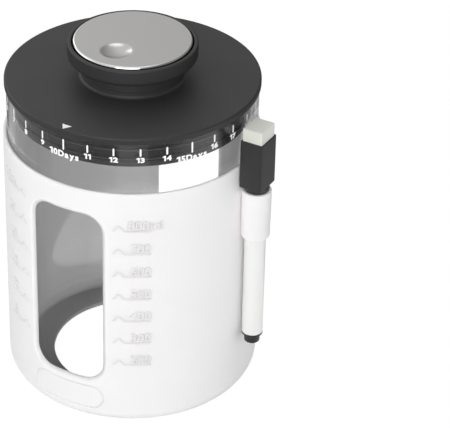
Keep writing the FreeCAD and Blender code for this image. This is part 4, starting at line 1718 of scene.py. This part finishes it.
@dataclass
class MarkerPen:
    """Pen that hangs in the loop: barrel, tail plug, writing end, and a square cap with a felt block."""

    axis: float = 62.7
    # The barrel, and the plugs that fit its bore.
    barrel: float = 4.7
    barrel_edge: float = 0.3
    bore: float = 3.8
    plug: float = 3.75
    low: float = 35.4
    high: float = 112.0
    # The tail plug.
    tail_low: float = 30.2
    tail_high: float = 41.4
    tail_tip: float = 3.5
    tail_round: float = 0.7
    tail_step: float = 33.6
    tail_collar: float = 3.8
    tail_collar_edge: float = 0.1
    tail_shoulder: float = 34.5
    tail_shoulder_edge: float = 0.15
    # The writing end.
    nose_low: float = 104.0
    nose_high: float = 123.0
    nose: float = 3.5
    nose_shoulder: float = 119.0
    nose_edge: float = 0.4
    nose_tip: float = 2.2
    nose_tip_edge: float = 0.3
    nib_hole: float = 1.45
    nib: float = 1.4
    nib_low: float = 97.0
    nib_high: float = 127.0
    nib_round: float = 0.7
    # The cap, with its bore, collar, brim and socket.
    cap_low: float = 110.0
    shoulder: float = 112.4
    cap_high: float = 135.7
    cap_depth: float = 10.7
    cap_breadth: float = 12.7
    cap_edge: float = 0.45
    cap_bore: float = 3.7
    cap_bore_high: float = 128.5
    cap_mouth: float = 4.9
    cap_mouth_high: float = 112.1
    cap_margins: Point2 = (0.8, 0.6)
    brim: float = 0.3
    socket: float = 0.5
    socket_depth: float = 2.0
    collar: float = 5.5
    collar_foot: float = 0.2
    collar_draw: float = 0.35
    collar_drop: float = 0.4
    # The felt block, with the heights of its sides' loops above the cap.
    felt_high: float = 141.6
    felt_depth: float = 9.5
    felt_breadth: float = 11.5
    felt_round: float = 0.6
    felt_levels: tuple[float, ...] = (-2.0, -1.0, 1.5, 3.5)
    # The smallest corner of a loop, and steps round the axis, the rounds and the sides.
    least_corner: float = 0.05
    segments: int = 72
    rounds: int = 5
    cap_steps: int = 12
    felt_rounds: int = 6
    felt_steps: int = 16

    def build(self) -> None:
        """Make the pen's pieces, and dress its ink core."""
        for name, finish, node, corners in (
            ("pen_tube", PEN_WHITE, "pen_barrel", [
                (self.bore, self.low),
                (self.barrel, self.low, self.barrel_edge),
                (self.barrel, self.high, self.barrel_edge),
                (self.bore, self.high),
            ]),
            ("pen_tail", PEN_BLACK, "pen_tail_plug", [
                (0.0, self.tail_low),
                (self.tail_tip, self.tail_low, self.tail_round),
                (self.tail_tip, self.tail_step),
                (self.tail_collar, self.tail_step, self.tail_collar_edge),
                (self.barrel, self.tail_shoulder, self.tail_shoulder_edge),
                (self.barrel, self.low),
                (self.plug, self.low),
                (self.plug, self.tail_high),
                (0.0, self.tail_high),
            ]),
            ("pen_nose", PEN_WHITE, "pen_nib_holder", [
                (self.nib_hole, self.nose_low),
                (self.plug, self.nose_low),
                (self.plug, self.high),
                (self.nose, self.high),
                (self.nose, self.nose_shoulder, self.nose_edge),
                (self.nose_tip, self.nose_high, self.nose_tip_edge),
                (self.nib_hole, self.nose_high),
            ]),
            ("pen_point", INK_FELT, "pen_nib", [
                (0.0, self.nib_low),
                (self.nib, self.nib_low),
                (self.nib, self.nib_high, self.nib_round),
                (0.0, self.nib_high),
            ]),
        ):
            turned_piece(name, Body.PEN, finish, node, corners, self.segments, self.rounds, self.axis)
        dress_node("pen_ink_core", INK_FELT)
        self.cap()
        self.felt()

    def block(self, depth: float, breadth: float, edge: float, inset: float, steps: int) -> list[Point2]:
        """A soft rectangle about the pen's axis, seen from above.

        Args:
            depth: its size along X.
            breadth: its size along Y.
            edge: radius of its upright edges.
            inset: how far it is drawn in all round.
            steps: steps along each side.

        Returns:
            The points (x, y).
        """
        corner = max(self.least_corner, edge - inset)
        half = breadth / 2 - inset
        loop = soft_rectangle(depth / 2 - inset, -half, half, corner, steps, steps)
        return [(self.axis + x, y) for x, y in loop]

    def stacked(
        self, name: str, finish: Finish, node: str, levels: Sequence[tuple[list[Point2], float]]
    ) -> None:
        """Make one of the cap's pieces from level loops.

        Args:
            name: the piece's name.
            finish: its finish.
            node: the CAD node that it stands for.
            levels: each loop's points (x, y) and its height.
        """
        shell = Shell()
        shell.loft([shell.add_all([(x, y, height) for x, y in loop]) for loop, height in levels])
        shell.piece(name, Body.CAP, [finish], [node])

    def cap(self) -> None:
        """Build the cap: a block with a bore for the pen below, and a socket for the felt above."""

        def circle(radius: float) -> list[Point2]:
            """A circle about the pen's axis, in step with the points of a square block.

            Args:
                radius: its radius.

            Returns:
                The points (x, y).
            """
            square = self.block(self.cap_breadth, self.cap_breadth, self.cap_edge, 0.0, self.cap_steps)
            spokes = [math.atan2(y, x - self.axis) for x, y in square]
            return [(self.axis + radius * math.cos(a), radius * math.sin(a)) for a in spokes]

        def outline(inset: float) -> list[Point2]:
            """The block's outline, drawn in."""
            return self.block(self.cap_depth, self.cap_breadth, self.cap_edge, inset, self.cap_steps)

        levels = [(circle(radius), height) for radius, height in (
            (self.cap_bore, self.cap_bore_high),
            (self.cap_bore, self.cap_mouth_high),
            (self.cap_mouth, self.cap_mouth_high),
            (self.cap_mouth, self.cap_low),
            (self.collar - self.collar_foot, self.cap_low),
            (self.collar, self.cap_low + self.collar_foot),
            (self.collar, self.shoulder - self.collar_drop),
            (self.collar - self.collar_draw, self.shoulder),
        )]
        turns = [(math.sin(angle), math.cos(angle)) for angle in quarter_turn(self.rounds)]
        insets = [(self.cap_edge * (1 - s), self.shoulder + self.cap_edge * (1 - c)) for s, c in turns]
        insets += [(0.0, self.shoulder + self.cap_margins[0]), (0.0, self.cap_high - self.cap_margins[1])]
        insets += [(self.brim * (1 - c), self.cap_high - self.brim * (1 - s)) for s, c in turns]
        insets += [(self.socket, self.cap_high), (self.socket, self.cap_high - self.socket_depth)]
        levels += [(outline(inset), height) for inset, height in insets]
        self.stacked("pen_cap_block", PEN_BLACK, "pen_cap", levels)

    def felt(self) -> None:
        """Build the felt block that wipes the glass, with soft edges."""
        insets = [(0.0, self.cap_high + rise) for rise in self.felt_levels]
        for angle in quarter_turn(self.felt_rounds):
            height = self.felt_high - self.felt_round * (1 - math.sin(angle))
            insets.append((self.felt_round * (1 - math.cos(angle)), height))
        self.stacked("felt_eraser", WOOL_FELT, "pen_eraser", [
            (self.block(self.felt_depth, self.felt_breadth, self.felt_round, inset, self.felt_steps), height)
            for inset, height in insets
        ])


@dataclass(frozen=True)
class Softbox:
    """A square studio light that looks at the jar's middle. Its lengths are in metres."""

    name: str
    bearing: float
    elevation: float
    distance: float
    size: float
    watts: float
    aim: float = 0.08

    def build(self) -> None:
        """Hang the light."""
        lamp = bpy.data.lights.new(self.name, "AREA")
        lamp.shape = "SQUARE"
        lamp.size = self.size
        lamp.energy = self.watts
        holder = bpy.data.objects.new(self.name, lamp)
        bpy.context.scene.collection.objects.link(holder)
        x, y, z = (self.distance * part for part in heading(self.bearing, self.elevation))
        holder.location = (x, y, z + self.aim)
        holder.rotation_euler = (math.pi / 2 - math.radians(self.elevation), 0.0, math.radians(self.bearing))


@dataclass(frozen=True)
class Grade:
    """A strength that changes along one direction, between the two ends of a span."""

    bearing: float
    span: Point2
    shades: Point2
    elevation: float = 0.0

    def strength(self, place: Socket) -> Socket:
        """Work the strength out in a node tree.

        Args:
            place: where a point lies in metres, or the direction that a ray comes from.

        Returns:
            The strength's socket.
        """
        tree = place.id_data
        along = add_node(tree, "ShaderNodeVectorMath", {
            0: place, 1: heading(self.bearing, self.elevation),
        }, operation="DOT_PRODUCT")
        return add_node(tree, "ShaderNodeMapRange", {
            "Value": along.outputs["Value"], "From Min": self.span[0], "From Max": self.span[1],
            "To Min": self.shades[0], "To Max": self.shades[1],
        }).outputs["Result"]


@dataclass
class Studio:
    """White sweep of floor, soft light and the camera at the photograph's angle."""

    camera_bearing: float = 31.3
    camera_distance: float = 902.4
    camera_height: float = 651.2
    camera_tilt: float = 33.151
    camera_far_metres: float = 20.0
    sensor: float = 36.0
    lens: float = 189.8
    shift: Point2 = (0.2051, 0.0599)
    floor_half_metres: float = 6.0
    floor_drop: float = 0.3
    paper: str = "#F6F6F6"
    # The sky's light, and how much of the floor is plain white to the eye.
    sky: float = 0.6
    glow_share: float = 0.9
    glow: float = 1.05
    # The dark cards beside the jar, which only show through the glass. Their gap is in metres.
    card_gap: Point2 = (0.058, 0.070)
    card_shades: Point2 = (1.3, 0.3)
    # What surfaces mirror of the floor, with its lengths in metres, and of the sky.
    mirror_right: Grade = Grade(140.0, (0.05, 0.16), (0.34, 3.0))
    mirror_left: Grade = Grade(-75.0, (0.05, 0.2), (0.0, 0.8))
    mirror_end: Grade = Grade(180.0, (0.07, 0.1), (1.0, 0.3))
    mirror_floor_reach: float = 0.5
    mirror_sky: Grade = Grade(-58.7, (-0.2, 0.31), (0.24, 0.85), 20.0)
    mirror_horizon: Grade = Grade(0.0, (-0.02, 0.16), (0.1, 1.0), 90.0)

    def build(self) -> None:
        """Set the stage, the lights and the camera."""
        bpy.context.scene.view_settings.view_transform = "Standard"
        self.floor()
        self.world()
        # Bearing and elevation in degrees, distance and size in metres, and power in watts.
        for light in (
            Softbox("key_softbox", 22.0, 18.0, 1.6, 1.2, 13.7),
            Softbox("left_softbox", -80.0, 25.0, 1.7, 1.4, 4.8),
            Softbox("right_softbox", 120.0, 25.0, 1.7, 1.0, 0.15),
            Softbox("rim_softbox", 236.0, 26.0, 1.7, 0.5, 0.9),
            Softbox("top_softbox", 211.0, 74.0, 1.5, 0.7, 1.3),
        ):
            light.build()
        self.camera()

    def through_glass(self, tree: Tree) -> Socket:
        """Pick the rays that have come through glass and met nothing matt before.

        Args:
            tree: the shader's tree.

        Returns:
            A socket with 1 for such a ray, and 0 for any other.
        """
        path = add_node(tree, "ShaderNodeLightPath").outputs
        clear = add_node(tree, "ShaderNodeMath", {0: path["Diffuse Depth"], 1: 0.5}, operation="LESS_THAN")
        return add_node(tree, "ShaderNodeMath", {
            0: path["Is Transmission Ray"], 1: clear.outputs[0],
        }, operation="MULTIPLY").outputs[0]

    def floor(self) -> None:
        """Lay the floor: white to the eye, with the object's shadow on it.

        Seen through the glass it has dark cards beside the jar, and mirrored in a surface it is graded.
        """
        half, low = self.floor_half_metres, -self.floor_drop * MM
        mesh = bpy.data.meshes.new("floor")
        corners = [(-half, -half, low), (half, -half, low), (half, half, low), (-half, half, low)]
        mesh.from_pydata(corners, [], [(0, 1, 2, 3)])
        material = bpy.data.materials.new("white_paper_sweep")
        material.use_nodes = True
        tree = material.node_tree
        tree.nodes.clear()
        path = add_node(tree, "ShaderNodeLightPath").outputs
        place = add_node(tree, "ShaderNodeTexCoord").outputs["Object"]
        scaled = add_node(tree, "ShaderNodeMapping", {
            "Vector": place, "Scale": (1 / self.mirror_floor_reach,) * 3,
        })
        near = add_node(tree, "ShaderNodeTexGradient", {
            "Vector": scaled.outputs["Vector"],
        }, gradient_type="SPHERICAL")
        mirror = self.mirror_right.strength(place)
        for operation, other in (
            ("ADD", self.mirror_left.strength(place)),
            ("MULTIPLY", self.mirror_end.strength(place)),
            ("MULTIPLY", near.outputs["Fac"]),
        ):
            mirror = add_node(tree, "ShaderNodeMath", {0: mirror, 1: other}, operation=operation).outputs[0]
        cards = [Grade(self.camera_bearing + side, self.card_gap, self.card_shades) for side in (-90.0, 90.0)]
        behind = add_node(tree, "ShaderNodeMath", {
            number: card.strength(place) for number, card in enumerate(cards)
        }, operation="MINIMUM").outputs[0]
        surface = add_node(tree, "ShaderNodeBsdfDiffuse", {"Color": linear(self.paper)})
        for ray, share, strength in (
            (path["Is Glossy Ray"], 1.0, mirror),
            (self.through_glass(tree), self.glow_share, behind),
            (path["Is Camera Ray"], self.glow_share, self.glow),
        ):
            part = add_node(tree, "ShaderNodeMath", {0: ray, 1: share}, operation="MULTIPLY")
            shown = add_node(tree, "ShaderNodeEmission", {"Color": WHITE, "Strength": strength})
            surface = add_node(tree, "ShaderNodeMixShader", {
                0: part.outputs[0], 1: surface.outputs[0], 2: shown.outputs[0],
            })
        add_node(tree, "ShaderNodeOutputMaterial", {"Surface": surface.outputs[0]})
        mesh.materials.append(material)
        floor = bpy.data.objects.new("floor", mesh)
        bpy.context.scene.collection.objects.link(floor)

    def world(self) -> None:
        """Set a sky that lights softly, looks white, and shows a graded studio to the steel."""
        world = bpy.data.worlds.new("studio")
        world.use_nodes = True
        tree = world.node_tree
        tree.nodes.clear()
        path = add_node(tree, "ShaderNodeLightPath").outputs
        towards = add_node(tree, "ShaderNodeTexCoord").outputs["Generated"]
        mirror = add_node(tree, "ShaderNodeMath", {
            0: self.mirror_sky.strength(towards), 1: self.mirror_horizon.strength(towards),
        }, operation="MULTIPLY").outputs[0]
        surface = add_node(tree, "ShaderNodeBackground", {"Color": WHITE, "Strength": self.sky})
        for ray, strength in (
            (path["Is Glossy Ray"], mirror), (self.through_glass(tree), 1.0), (path["Is Camera Ray"], 1.0),
        ):
            shown = add_node(tree, "ShaderNodeBackground", {"Color": WHITE, "Strength": strength})
            surface = add_node(tree, "ShaderNodeMixShader", {
                0: ray, 1: surface.outputs[0], 2: shown.outputs[0],
            })
        add_node(tree, "ShaderNodeOutputWorld", {"Surface": surface.outputs[0]})
        bpy.context.scene.world = world

    def camera(self) -> None:
        """Stand the camera where the photograph was taken from."""
        lens = bpy.data.cameras.new("camera")
        lens.sensor_fit = "HORIZONTAL"
        lens.sensor_width = self.sensor
        lens.lens = self.lens
        lens.shift_x, lens.shift_y = self.shift
        lens.clip_end = self.camera_far_metres
        holder = bpy.data.objects.new("camera", lens)
        bpy.context.scene.collection.objects.link(holder)
        x, y, _ = (self.camera_distance * MM * part for part in heading(self.camera_bearing))
        holder.location = (x, y, self.camera_height * MM)
        tilt, bearing = math.radians(self.camera_tilt), math.radians(self.camera_bearing)
        holder.rotation_euler = (math.pi / 2 - tilt, 0.0, bearing)
        bpy.context.scene.camera = holder


def main() -> None:
    """Build each part of the jar in order, then the studio round it."""
    logging.basicConfig(level=logging.INFO, format="%(name)s: %(message)s")
    for part in (SiliconeSleeve(), GlassJar(), PlugLid(), VentDial(), MarkerPen(), Studio()):
        part.build()


if __name__ == "__main__":
    main()
